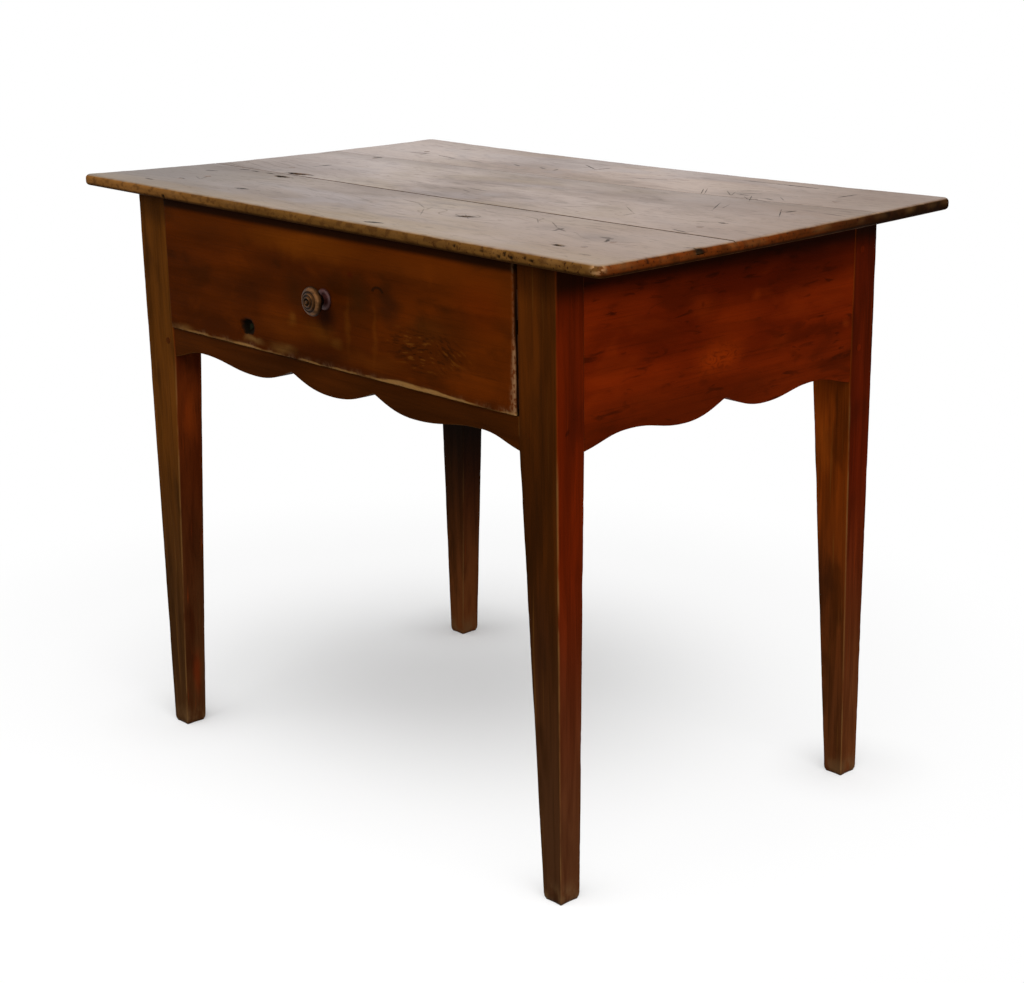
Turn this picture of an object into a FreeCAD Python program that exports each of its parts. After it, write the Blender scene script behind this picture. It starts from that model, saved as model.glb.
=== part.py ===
"""A country table: a pegged plank top on tapered legs, shaped aprons and one drawer with a turned knob.

Lengths are millimetres. +X runs along the top, +Y goes from the drawer to the back and +Z is up.
The pieces are modelled about the middle of the leg frame, on the floor, and are then moved so that
the origin lies under the middle of the whole table, knob included.
"""
import FreeCAD
import Part
import math
import os

Vector = FreeCAD.Vector

# Overall sizes of the leg frame and the top
table_height = 721.0
frame_length = 750.0
frame_depth = 518.0
top_thickness = 13.5
overhang_left_front = 96.0
overhang_left_back = 82.0
overhang_right = 74.0
overhang_front = 15.0
overhang_back = 35.0

# Joints between the tapered top boards, at the left and the right end, as shares of the top's depth
crack_place_shares = (0.3415, 0.347)
tight_joint_place_shares = (0.6885, 0.764)
crack_width = 3.0
top_corner_round = 12.0
top_upper_round = 4.0
top_lower_round = 3.5
edge_round_limit_share = 0.45

# Legs: straight above the taper start, tapered below it on the two inner faces
leg_width = 58.0
leg_depth = 40.0
foot_width = 27.5
foot_depth = 29.5
leg_block_height = 198.5
leg_arris_round = 1.8
foot_chamfer = 2.5

# Aprons and the rail below the drawer
apron_thickness = 25.0
apron_setback = 1.0
side_apron_height = 196.5
back_apron_height = 196.5
rail_thickness = 28.0
rail_height = 36.7
drawer_opening_height = 162.5
arch_rise = 12.5
lobe_rise = 2.5
cusp_rise = 20.0
# Places of the arch, lobe and cusp as shares of the half length between the legs
side_arch_share = 0.69
side_lobe_share = 0.30
rail_arch_share = 0.81
rail_lobe_share = 0.465
rail_cusp_share = 0.24
# Handle lengths of the curves, as shares of each curve's run and of the rise up to a cusp
curve_handle_share = 0.45
cusp_handle_share = 0.30
cusp_slope_share = 0.42

# Mortise and tenon joints
tenon_thickness = 10.0
tenon_length = 26.0
tenon_shoulder = 20.0
rail_tenon_shoulder = 5.0
mortise_spare_depth = 2.0
joint_peg_diameter = 8.0
joint_peg_length = 30.0
peg_clearance = 0.1
peg_proud = 0.3
peg_end_margin = 20.0

# Pegs that hold the boards down on the side aprons
top_peg_diameter = 9.0
top_peg_depth = 35.0
top_peg_place_shares = (-0.94, -0.75, -0.15, 0.48, 0.90)

# Drawer runners, guides and stops
runner_width = 34.0
runner_height = 18.0
runner_tenon_length = 8.0
runner_tenon_height = 8.0
runner_tenon_shoulder = 5.0
guide_height = 40.0
guide_lap = 11.0
stop_length = 36.0
stop_height = 5.0
stop_place_share = 0.5
stop_gap = 0.3
nail_diameter = 3.0
nail_grip = 14.0
nail_clearance = 0.1
nail_place_shares = (-0.75, 0.0, 0.75)

# Drawer
drawer_back_room = 25.0
drawer_front_thickness = 20.0
drawer_front_proud = 3.0
drawer_end_gap = 1.8
drawer_top_gap = 1.5
drawer_bottom_gap = 1.0
running_gap = 0.3
drawer_side_thickness = 12.0
drawer_side_height = 140.0
drawer_back_thickness = 12.0
drawer_back_drop = 6.0
drawer_bottom_thickness = 7.0
drawer_bottom_rise = 9.0
drawer_groove_depth = 5.0
groove_clearance = 0.2
bottom_board_share = 0.54
front_tail_length = 14.0
tail_root_share = 0.50
tail_end_share = 0.68
tail_count = 3
bottom_nail_diameter = 2.2
bottom_nail_length = 24.0
bottom_nail_head_diameter = 5.0
bottom_nail_head_height = 1.0
bottom_nail_count = 4

# Knob: radii and distances out from the drawer front
knob_rise = 79.0
rose_radius = 14.0
rose_thickness = 5.5
rose_edge_round = 3.5
neck_radius = 6.5
knob_neck_length = 9.7
knob_radius = 17.2
knob_rim_thickness = 5.5
knob_dome = 3.2
knob_button_radius = 2.2
knob_button_rise = 1.2
knob_groove_depth = 0.9
knob_groove_width = 1.2
# Turned grooves of the knob's face, as shares of the radius inside the rim
knob_groove_shares = (0.86, 0.52, 0.26)
bolt_diameter = 6.0
bolt_clearance = 0.1
bolt_grip = 12.0
bolt_end = 3.0
washer_diameter = 20.0
washer_thickness = 1.6
nut_width = 12.0
nut_thickness = 5.0

# All cuts run past the surface by this much
overrun = 5.0

# Levels and places worked out from the sizes above
half_length = frame_length / 2
half_depth = frame_depth / 2
top_underside = table_height - top_thickness
taper_start = top_underside - leg_block_height
rail_top = top_underside - drawer_opening_height
rail_bottom = rail_top - rail_height
leg_inner_x = half_length - leg_width
leg_inner_y = half_depth - leg_depth
apron_outer_x = half_length - apron_setback
apron_inner_x = apron_outer_x - apron_thickness
apron_middle_x = apron_outer_x - apron_thickness / 2
back_outer_y = half_depth - apron_setback
back_inner_y = back_outer_y - apron_thickness
back_middle_y = back_outer_y - apron_thickness / 2
rail_front_y = -half_depth + apron_setback
rail_back_y = rail_front_y + rail_thickness
rail_middle_y = rail_front_y + rail_thickness / 2
top_left = -half_length - max(overhang_left_front, overhang_left_back)
top_right = half_length + overhang_right
top_front = -half_depth - overhang_front
top_back = half_depth + overhang_back
drawer_face_y = -half_depth - drawer_front_proud
drawer_front_back_y = drawer_face_y + drawer_front_thickness
drawer_back_y = back_inner_y - drawer_back_room
drawer_half = leg_inner_x - drawer_end_gap
drawer_inner_half = drawer_half - drawer_side_thickness
drawer_low = rail_top + running_gap
drawer_front_low = rail_top + drawer_bottom_gap
drawer_front_high = top_underside - drawer_top_gap
bottom_low = drawer_low + drawer_bottom_rise
bottom_high = bottom_low + drawer_bottom_thickness
drawer_side_high = drawer_low + drawer_side_height
knob_height = drawer_front_low + knob_rise
knob_rim_start = rose_thickness + knob_neck_length
knob_rim_end = knob_rim_start + knob_rim_thickness
knob_face_radius = knob_radius - knob_rim_thickness / 2
knob_reach = knob_rim_end + knob_dome + knob_button_rise


def block(x_ends, y_ends, z_ends):
    """A box between two places on each axis, given in either order."""
    low = Vector(min(x_ends), min(y_ends), min(z_ends))
    high = Vector(max(x_ends), max(y_ends), max(z_ends))
    size = high - low
    return Part.makeBox(size.x, size.y, size.z, low)


def cut_all(shape, tools):
    for tool in tools:
        shape = shape.cut(tool)
    return shape


def rounded_section(x_ends, y_ends, radius, z):
    """A closed rectangle with rounded corners at one level."""
    x0, x1 = min(x_ends), max(x_ends)
    y0, y1 = min(y_ends), max(y_ends)
    middle = radius * (1 - 0.5 ** 0.5)

    def at(x, y):
        return Vector(x, y, z)

    edges = [
        Part.LineSegment(at(x0 + radius, y0), at(x1 - radius, y0)),
        Part.Arc(at(x1 - radius, y0), at(x1 - middle, y0 + middle), at(x1, y0 + radius)),
        Part.LineSegment(at(x1, y0 + radius), at(x1, y1 - radius)),
        Part.Arc(at(x1, y1 - radius), at(x1 - middle, y1 - middle), at(x1 - radius, y1)),
        Part.LineSegment(at(x1 - radius, y1), at(x0 + radius, y1)),
        Part.Arc(at(x0 + radius, y1), at(x0 + middle, y1 - middle), at(x0, y1 - radius)),
        Part.LineSegment(at(x0, y1 - radius), at(x0, y0 + radius)),
        Part.Arc(at(x0, y0 + radius), at(x0 + middle, y0 + middle), at(x0 + radius, y0)),
    ]
    return Part.Wire([edge.toShape() for edge in edges])


def prism(points, depth):
    """A solid swept from a flat outline of straight sides."""
    outline = Part.makePolygon(points + points[:1])
    return Part.Face(outline).extrude(depth)


# Top

def top_slab():
    """The whole top as one plank, rounded all round, which the joints then part into boards."""
    corners = ((-half_length - overhang_left_front, top_front), (top_right, top_front),
               (top_right, top_back), (-half_length - overhang_left_back, top_back))
    slab = prism([Vector(x, y, top_underside) for x, y in corners], Vector(0, 0, top_thickness))
    uprights = [edge for edge in slab.Edges if edge.BoundBox.ZLength > top_thickness / 2]
    slab = slab.makeFillet(top_corner_round, uprights)
    limit = top_thickness * edge_round_limit_share
    upper = [edge for edge in slab.Edges if lies_at(edge, table_height)]
    slab = slab.makeFillet(min(top_upper_round, limit), upper)
    lower = [edge for edge in slab.Edges if lies_at(edge, top_underside)]
    return slab.makeFillet(min(top_lower_round, limit), lower)


def lies_at(edge, z):
    box = edge.BoundBox
    tolerance = top_thickness / 1000
    return abs(box.ZMin - z) < tolerance and abs(box.ZMax - z) < tolerance


def joint_place(left, right, x):
    """Where a joint between boards crosses the top at x, for its distances from the front edge at the two ends."""
    share = (x - top_left) / (top_right - top_left)
    return top_front + left + (right - left) * share


def board(front_places, back_places):
    """The stretch of the top between two joints, each given by its distances from the front edge."""
    x0, x1 = top_left - overrun, top_right + overrun
    low = top_underside - overrun
    points = [
        Vector(x0, joint_place(*front_places, x0), low),
        Vector(x1, joint_place(*front_places, x1), low),
        Vector(x1, joint_place(*back_places, x1), low),
        Vector(x0, joint_place(*back_places, x0), low),
    ]
    return prism(points, Vector(0, 0, top_thickness + 2 * overrun))


def top_boards():
    depth = top_back - top_front
    crack = tuple(depth * share for share in crack_place_shares)
    crack_far = tuple(place + crack_width for place in crack)
    tight = tuple(depth * share for share in tight_joint_place_shares)
    stretches = {
        "top_board_front": ((-overrun, -overrun), crack),
        "top_board_middle": (crack_far, tight),
        "top_board_back": (tight, (depth + overrun, depth + overrun)),
    }
    slab = top_slab()
    holes = top_pegs(peg_clearance)
    return {name: cut_all(slab.common(board(*ends)), holes) for name, ends in stretches.items()}


def top_pegs(clearance):
    radius = top_peg_diameter / 2 + clearance
    low = top_underside - top_peg_depth
    pegs = []
    for side in (-1, 1):
        for share in top_peg_place_shares:
            foot = Vector(side * apron_middle_x, share * leg_inner_y, low)
            pegs.append(Part.makeCylinder(radius, table_height - low, foot))
    return pegs


# Joints of the leg frame

def side_tenon(side, end, spare):
    x_ends = [side * (apron_middle_x + half * tenon_thickness / 2) for half in (-1, 1)]
    y_ends = [end * leg_inner_y, end * (leg_inner_y + tenon_length + spare)]
    low = top_underside - side_apron_height + tenon_shoulder
    return block(x_ends, y_ends, (low, top_underside - tenon_shoulder))


def back_tenon(side, spare):
    x_ends = [side * leg_inner_x, side * (leg_inner_x + tenon_length + spare)]
    y_ends = [back_middle_y + half * tenon_thickness / 2 for half in (-1, 1)]
    low = top_underside - back_apron_height + tenon_shoulder
    return block(x_ends, y_ends, (low, top_underside - tenon_shoulder))


def rail_tenon(side, spare):
    x_ends = [side * leg_inner_x, side * (leg_inner_x + tenon_length + spare)]
    y_ends = [rail_middle_y + half * tenon_thickness / 2 for half in (-1, 1)]
    return block(x_ends, y_ends, (rail_bottom + rail_tenon_shoulder, rail_top - rail_tenon_shoulder))


def joint_peg(face_point, inward, clearance):
    """A peg whose outer end stands a little proud of the leg's face."""
    start = face_point - inward * peg_proud
    return Part.makeCylinder(joint_peg_diameter / 2 + clearance, joint_peg_length + peg_proud, start, inward)


def side_apron_pegs(clearance):
    low = top_underside - side_apron_height + tenon_shoulder + peg_end_margin
    high = top_underside - tenon_shoulder - peg_end_margin
    middle = leg_inner_y + tenon_length / 2
    return [joint_peg(Vector(side * half_length, end * middle, z), Vector(-side, 0, 0), clearance)
            for side in (-1, 1) for end in (-1, 1) for z in (low, high)]


def back_apron_pegs(clearance):
    low = top_underside - back_apron_height + tenon_shoulder + peg_end_margin
    high = top_underside - tenon_shoulder - peg_end_margin
    middle = leg_inner_x + tenon_length / 2
    return [joint_peg(Vector(side * middle, half_depth, z), Vector(0, -1, 0), clearance)
            for side in (-1, 1) for z in (low, high)]


def front_rail_pegs(clearance):
    middle = leg_inner_x + tenon_length / 2
    z = (rail_top + rail_bottom) / 2
    return [joint_peg(Vector(side * middle, -half_depth, z), Vector(0, 1, 0), clearance) for side in (-1, 1)]


# Legs

def leg_blank(side, end):
    """One leg with plumb outer faces: its foot, the start of its taper and its head are sections."""
    levels = (
        (0.0, foot_width, foot_depth, foot_chamfer),
        (foot_chamfer, foot_width, foot_depth, 0.0),
        (taper_start, leg_width, leg_depth, 0.0),
        (top_underside, leg_width, leg_depth, 0.0),
    )
    sections = []
    for z, width, depth, inset in levels:
        x_ends = (side * (half_length - inset), side * (half_length - width + inset))
        y_ends = (end * (half_depth - inset), end * (half_depth - depth + inset))
        sections.append(rounded_section(x_ends, y_ends, leg_arris_round, z))
    return Part.makeLoft(sections, True, True)


def leg(side, end):
    mortises = [side_tenon(side, end, mortise_spare_depth)]
    if end < 0:
        mortises.append(rail_tenon(side, mortise_spare_depth))
    else:
        mortises.append(back_tenon(side, mortise_spare_depth))
    holes = side_apron_pegs(peg_clearance) + back_apron_pegs(peg_clearance) + front_rail_pegs(peg_clearance)
    return cut_all(leg_blank(side, end), mortises + holes)


# Shaped lower edges

def curve(start, start_handle, end_handle, end):
    bezier = Part.BezierCurve()
    bezier.setPoles([start, start_handle, end_handle, end])
    return bezier.toShape()


def shaped_half(half, low, arch_share, lobe_share, cusp_share):
    """Curves of one half of a shaped edge, from the leg to the cusp, as (run, level) pairs.

    The edge rises from the leg to an arch, falls to a lobe and rises again to a sharp cusp.
    """
    leg_end = (half, low)
    arch = (half * arch_share, low + arch_rise)
    lobe = (half * lobe_share, low + lobe_rise)
    cusp = (half * cusp_share, low + cusp_rise)
    fall = (arch[0] - lobe[0]) * curve_handle_share
    rise = lobe[0] - cusp[0]
    climb = rise * cusp_handle_share
    start = (leg_end[0] - arch[0]) * curve_handle_share
    return [
        (leg_end, (leg_end[0] - start, low + arch_rise * curve_handle_share), (arch[0] + start, arch[1]), arch),
        (arch, (arch[0] - fall, arch[1]), (lobe[0] + fall, lobe[1]), lobe),
        (lobe, (lobe[0] - rise * curve_handle_share, lobe[1]),
         (cusp[0] + climb, cusp[1] - climb * cusp_slope_share), cusp),
    ]


def middle_lobe(half, low, cusp_share):
    """One half of the lobe between two cusps, from the cusp to the middle of the edge."""
    cusp = (half * cusp_share, low + cusp_rise)
    middle = (0.0, low + lobe_rise)
    climb = cusp[0] * cusp_handle_share
    return [(cusp, (cusp[0] - climb, cusp[1] - climb * cusp_slope_share),
             (cusp[0] * curve_handle_share, middle[1]), middle)]


def shaped_board(half, curves, high, place, depth):
    """A board of the given half length whose lower edge follows the curves on both halves."""
    edges = []
    for points in curves:
        edges.append(curve(*[place(run, z) for run, z in points]))
    for points in reversed(curves):
        edges.append(curve(*[place(-run, z) for run, z in reversed(points)]))
    low = curves[0][0][1]
    for a, b in (((-half, low), (-half, high)), ((-half, high), (half, high)), ((half, high), (half, low))):
        edges.append(Part.LineSegment(place(*a), place(*b)).toShape())
    return Part.Face(Part.Wire(Part.__sortEdges__(edges))).extrude(depth)


def side_apron(side):
    low = top_underside - side_apron_height
    curves = shaped_half(leg_inner_y, low, side_arch_share, side_lobe_share, 0.0)

    def place(run, z):
        return Vector(side * apron_inner_x, run, z)

    apron = shaped_board(leg_inner_y, curves, top_underside, place, Vector(side * apron_thickness, 0, 0))
    for end in (-1, 1):
        apron = apron.fuse(side_tenon(side, end, 0.0))
    holes = side_apron_pegs(peg_clearance) + top_pegs(peg_clearance) + guide_nails(nail_clearance)
    return cut_all(apron.removeSplitter(), holes)


def back_apron():
    low = top_underside - back_apron_height
    apron = block((-leg_inner_x, leg_inner_x), (back_inner_y, back_outer_y), (low, top_underside))
    for side in (-1, 1):
        apron = apron.fuse(back_tenon(side, 0.0))
    cuts = back_apron_pegs(peg_clearance) + [runner_tenon(side, 1) for side in (-1, 1)]
    return cut_all(apron.removeSplitter(), cuts)


def front_rail():
    curves = shaped_half(leg_inner_x, rail_bottom, rail_arch_share, rail_lobe_share, rail_cusp_share)
    curves += middle_lobe(leg_inner_x, rail_bottom, rail_cusp_share)

    def place(run, z):
        return Vector(run, rail_front_y, z)

    rail = shaped_board(leg_inner_x, curves, rail_top, place, Vector(0, rail_thickness, 0))
    for side in (-1, 1):
        rail = rail.fuse(rail_tenon(side, 0.0))
    cuts = front_rail_pegs(peg_clearance) + [runner_tenon(side, -1) for side in (-1, 1)]
    return cut_all(rail.removeSplitter(), cuts)


# Drawer runners, guides and stops

def runner_tenon(side, end):
    seat = back_inner_y if end > 0 else rail_back_y
    y_ends = (seat, seat + end * runner_tenon_length)
    x_ends = (side * (leg_inner_x - runner_width + runner_tenon_shoulder),
              side * (leg_inner_x - runner_tenon_shoulder))
    middle = rail_top - runner_height / 2
    return block(x_ends, y_ends, (middle - runner_tenon_height / 2, middle + runner_tenon_height / 2))


def runner(side):
    x_ends = (side * (leg_inner_x - runner_width), side * leg_inner_x)
    bar = block(x_ends, (rail_back_y, back_inner_y), (rail_top - runner_height, rail_top))
    for end in (-1, 1):
        bar = bar.fuse(runner_tenon(side, end))
    return cut_all(bar.removeSplitter(), runner_nails(nail_clearance))


def guide(side):
    low = rail_top - guide_lap
    x_ends = (side * leg_inner_x, side * apron_inner_x)
    bar = block(x_ends, (-leg_inner_y, leg_inner_y), (low, low + guide_height))
    return cut_all(bar, guide_nails(nail_clearance) + runner_nails(nail_clearance))


def nail_row(start_x, end_x, z, clearance):
    """Nails driven outwards along X on both sides of the table."""
    nails = []
    for side in (-1, 1):
        for share in nail_place_shares:
            start = Vector(side * start_x, share * leg_inner_y, z)
            nails.append(Part.makeCylinder(nail_diameter / 2 + clearance, end_x - start_x, start, Vector(side, 0, 0)))
    return nails


def guide_nails(clearance):
    z = (rail_top + rail_top - guide_lap + guide_height) / 2
    return nail_row(leg_inner_x, apron_inner_x + nail_grip, z, clearance)


def runner_nails(clearance):
    z = rail_top - guide_lap / 2
    return nail_row(leg_inner_x - runner_width, leg_inner_x + nail_grip, z, clearance)


def drawer_stops():
    stops = []
    for side in (-1, 1):
        middle = side * leg_inner_x * stop_place_share
        x_ends = (middle - stop_length / 2, middle + stop_length / 2)
        y_ends = (drawer_front_back_y + stop_gap, rail_back_y)
        stops.append(block(x_ends, y_ends, (rail_top, rail_top + stop_height)))
    return stops


# Drawer

def tails(side, root_y, end_y):
    """Dovetail tails of one drawer side, wider at their ends, evenly spaced up the side."""
    pitch = drawer_side_height / tail_count
    shapes = []
    for index in range(tail_count):
        middle = drawer_low + pitch * (index + 0.5)
        root = pitch * tail_root_share / 2
        end = pitch * tail_end_share / 2
        x = side * drawer_inner_half
        points = [Vector(x, root_y, middle - root), Vector(x, end_y, middle - end),
                  Vector(x, end_y, middle + end), Vector(x, root_y, middle + root)]
        shapes.append(prism(points, Vector(side * drawer_side_thickness, 0, 0)))
    return shapes


def front_tails(side):
    return tails(side, drawer_front_back_y, drawer_front_back_y - front_tail_length)


def back_tails(side):
    return tails(side, drawer_back_y - drawer_back_thickness, drawer_back_y)


def bottom_space(clearance):
    """The room of the drawer bottom: in grooves at the front and sides, open under the back."""
    half = drawer_inner_half + drawer_groove_depth + clearance
    y_ends = (drawer_front_back_y - drawer_groove_depth - clearance, drawer_back_y + clearance)
    return block((-half, half), y_ends, (bottom_low - clearance, bottom_high + clearance))


def drawer_front():
    front = block((-drawer_half, drawer_half), (drawer_face_y, drawer_front_back_y),
                  (drawer_front_low, drawer_front_high))
    sockets = front_tails(-1) + front_tails(1)
    return cut_all(front, sockets + [bottom_space(groove_clearance), knob_bolt(bolt_clearance)])


def drawer_side(side):
    x_ends = (side * drawer_inner_half, side * drawer_half)
    y_ends = (drawer_front_back_y, drawer_back_y - drawer_back_thickness)
    shape = block(x_ends, y_ends, (drawer_low, drawer_side_high))
    for tail in front_tails(side) + back_tails(side):
        shape = shape.fuse(tail)
    return shape.removeSplitter().cut(bottom_space(groove_clearance))


def drawer_back():
    low = bottom_high + groove_clearance
    back = block((-drawer_half, drawer_half), (drawer_back_y - drawer_back_thickness, drawer_back_y),
                 (low, drawer_side_high - drawer_back_drop))
    return cut_all(back, back_tails(-1) + back_tails(1) + bottom_nails(nail_clearance))


def drawer_bottom_boards():
    whole = bottom_space(0.0)
    room = whole.BoundBox
    joint = room.YMin + (room.YMax - room.YMin) * bottom_board_share
    x_ends = (room.XMin - overrun, room.XMax + overrun)
    z_ends = (room.ZMin - overrun, room.ZMax + overrun)
    front = whole.common(block(x_ends, (room.YMin - overrun, joint), z_ends))
    back = whole.common(block(x_ends, (joint, room.YMax + overrun), z_ends))
    return {
        "drawer_bottom_front": front,
        "drawer_bottom_back": cut_all(back, bottom_nails(nail_clearance)),
    }


def bottom_nails(clearance):
    """Nails up through the drawer bottom into the back, heads below."""
    y = drawer_back_y - drawer_back_thickness / 2
    spacing = 2 * drawer_inner_half / bottom_nail_count
    nails = []
    for index in range(bottom_nail_count):
        x = -drawer_inner_half + spacing * (index + 0.5)
        shank = Part.makeCylinder(bottom_nail_diameter / 2 + clearance, bottom_nail_length, Vector(x, y, bottom_low))
        head_foot = Vector(x, y, bottom_low - bottom_nail_head_height)
        head = Part.makeCylinder(bottom_nail_head_diameter / 2, bottom_nail_head_height, head_foot)
        nails.append(shank.fuse(head))
    return nails


# Knob

def turned(points_and_arcs):
    """A solid turned about the knob's axis from edges of (radius, distance out from the drawer front)."""
    def place(radius, out):
        return Vector(radius, drawer_face_y - out, knob_height)

    edges = []
    for points in points_and_arcs:
        spots = [place(*point) for point in points]
        segment = Part.LineSegment(*spots) if len(spots) == 2 else Part.Arc(*spots)
        edges.append(segment.toShape())
    face = Part.Face(Part.Wire(Part.__sortEdges__(edges)))
    return face.revolve(Vector(0, 0, knob_height), Vector(0, 1, 0), 360)


def polyline(points):
    return [(points[index], points[index + 1]) for index in range(len(points) - 1)]


def knob_rose():
    bore = bolt_diameter / 2 + bolt_clearance
    round_edge = min(rose_edge_round, rose_thickness)
    flat = rose_thickness - round_edge
    slant = round_edge * 0.5 ** 0.5
    inner = rose_radius - round_edge
    edges = polyline([(inner, rose_thickness), (bore, rose_thickness), (bore, 0.0), (rose_radius, 0.0)])
    if flat > 0:
        edges += polyline([(rose_radius, 0.0), (rose_radius, flat)])
    edges.append(((rose_radius, flat), (inner + slant, flat + slant), (inner, rose_thickness)))
    return turned(edges)


def dome_level(radius):
    """How far out the domed face of the knob stands at a radius."""
    share = radius / knob_face_radius
    return knob_rim_end + knob_dome * (1 - share * share)


def button_bulge(foot_radius, foot_level):
    """A point half way up the ball-shaped button, whose centre lies on the knob's axis."""
    rise = knob_reach - foot_level
    ball_radius = (foot_radius ** 2 + rise ** 2) / (2 * rise)
    angle = math.asin(foot_radius / ball_radius) / 2
    return (ball_radius * math.sin(angle), knob_reach - ball_radius * (1 - math.cos(angle)))


def knob():
    """A neck, a rounded rim and a domed face with turned grooves and a button in the middle."""
    bore = bolt_diameter / 2 + bolt_clearance
    bore_end = rose_thickness + bolt_grip
    slant = 0.5 ** 0.5
    neck_bend = (neck_radius + (knob_face_radius - neck_radius) * (1 - slant),
                 rose_thickness + knob_neck_length * slant)
    rim_start = (knob_face_radius, knob_rim_start)
    rim_end = (knob_face_radius, knob_rim_end)
    rim_bulge = (knob_radius, (knob_rim_start + knob_rim_end) / 2)
    face = [rim_end]
    for share in knob_groove_shares:
        radius = knob_face_radius * share
        outer = radius + knob_groove_width / 2
        inner = radius - knob_groove_width / 2
        face += [(outer, dome_level(outer)), (radius, dome_level(radius) - knob_groove_depth),
                 (inner, dome_level(inner))]
    button_foot = (knob_button_radius, dome_level(knob_button_radius))
    face.append(button_foot)
    edges = [((neck_radius, rose_thickness), neck_bend, rim_start), (rim_start, rim_bulge, rim_end)]
    edges += polyline(face)
    edges.append((button_foot, button_bulge(*button_foot), (0.0, knob_reach)))
    edges += polyline([(0.0, knob_reach), (0.0, bore_end), (bore, bore_end), (bore, rose_thickness),
                       (neck_radius, rose_thickness)])
    return turned(edges)


def knob_bolt(clearance):
    length = rose_thickness + bolt_grip + drawer_front_thickness + washer_thickness + nut_thickness + bolt_end
    start = Vector(0, drawer_face_y - rose_thickness - bolt_grip, knob_height)
    return Part.makeCylinder(bolt_diameter / 2 + clearance, length, start, Vector(0, 1, 0))


def knob_washer():
    start = Vector(0, drawer_front_back_y, knob_height)
    disc = Part.makeCylinder(washer_diameter / 2, washer_thickness, start, Vector(0, 1, 0))
    return disc.cut(knob_bolt(bolt_clearance))


def knob_nut():
    near = drawer_front_back_y + washer_thickness
    half = nut_width / 2
    nut = block((-half, half), (near, near + nut_thickness), (knob_height - half, knob_height + half))
    return nut.cut(knob_bolt(bolt_clearance))


# All pieces by name

def pieces():
    nodes = top_boards()
    nodes["top_pegs"] = Part.makeCompound(top_pegs(0.0))
    for side, side_name in ((-1, "left"), (1, "right")):
        nodes["leg_front_" + side_name] = leg(side, -1)
        nodes["leg_back_" + side_name] = leg(side, 1)
        nodes["apron_" + side_name] = side_apron(side)
        nodes["drawer_runner_" + side_name] = runner(side)
        nodes["drawer_guide_" + side_name] = guide(side)
        nodes["drawer_side_" + side_name] = drawer_side(side)
    nodes["apron_back"] = back_apron()
    nodes["front_rail"] = front_rail()
    nodes["side_apron_pegs"] = Part.makeCompound(side_apron_pegs(0.0))
    nodes["back_apron_pegs"] = Part.makeCompound(back_apron_pegs(0.0))
    nodes["front_rail_pegs"] = Part.makeCompound(front_rail_pegs(0.0))
    nodes["guide_nails"] = Part.makeCompound(guide_nails(0.0))
    nodes["runner_nails"] = Part.makeCompound(runner_nails(0.0))
    nodes["drawer_stops"] = Part.makeCompound(drawer_stops())
    nodes["drawer_front"] = drawer_front()
    nodes["drawer_back"] = drawer_back()
    nodes.update(drawer_bottom_boards())
    nodes["drawer_bottom_nails"] = Part.makeCompound(bottom_nails(0.0))
    nodes["knob_rose"] = knob_rose()
    nodes["knob"] = knob()
    nodes["knob_bolt"] = knob_bolt(0.0)
    nodes["knob_washer"] = knob_washer()
    nodes["knob_nut"] = knob_nut()
    return nodes


def main():
    os.makedirs("parts", exist_ok=True)
    front = drawer_face_y - knob_reach
    left = top_slab().optimalBoundingBox().XMin
    to_origin = Vector(-(left + top_right) / 2, -(front + top_back) / 2, 0)
    for name, shape in pieces().items():
        shape.translate(to_origin)
        shape.exportStep("parts/" + name + ".step")
        print(name, len(shape.Solids), shape.isValid(), round(shape.Volume))


main()
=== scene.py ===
"""A country table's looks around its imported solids: worn planks, rubbed legs and a bronze knob.

Lengths are metres, in the solids' own frame: +X runs along the top, +Y from the drawer to the back, +Z is up.
"""
import bmesh
import bpy
import math
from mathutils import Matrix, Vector, noise

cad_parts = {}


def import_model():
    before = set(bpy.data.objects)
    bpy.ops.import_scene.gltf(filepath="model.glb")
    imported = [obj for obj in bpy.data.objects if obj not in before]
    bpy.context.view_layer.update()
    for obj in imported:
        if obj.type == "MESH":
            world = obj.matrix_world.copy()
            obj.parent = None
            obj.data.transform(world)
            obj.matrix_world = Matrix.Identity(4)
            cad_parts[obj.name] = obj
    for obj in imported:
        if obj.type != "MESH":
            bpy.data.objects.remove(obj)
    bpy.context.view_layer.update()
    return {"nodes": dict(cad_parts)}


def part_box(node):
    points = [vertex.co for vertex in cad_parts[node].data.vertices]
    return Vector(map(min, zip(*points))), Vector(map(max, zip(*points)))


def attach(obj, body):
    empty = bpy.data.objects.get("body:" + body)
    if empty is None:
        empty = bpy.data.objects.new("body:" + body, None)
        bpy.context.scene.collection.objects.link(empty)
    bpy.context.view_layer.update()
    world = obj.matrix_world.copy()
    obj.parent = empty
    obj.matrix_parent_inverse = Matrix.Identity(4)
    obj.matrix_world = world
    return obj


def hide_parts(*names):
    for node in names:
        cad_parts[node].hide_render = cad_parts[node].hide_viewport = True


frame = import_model()
nodes = frame["nodes"]

# Camera of the photograph: degrees, and millimetres for its lens
camera_place = (1.8458, -1.6487, 1.0710)
camera_turn_deg = (71.7467, 0.0, 44.9718)
camera_lens_mm = 71.75
camera_sensor_mm = 36.0
camera_shift = (-0.0948, 0.0627)

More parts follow.
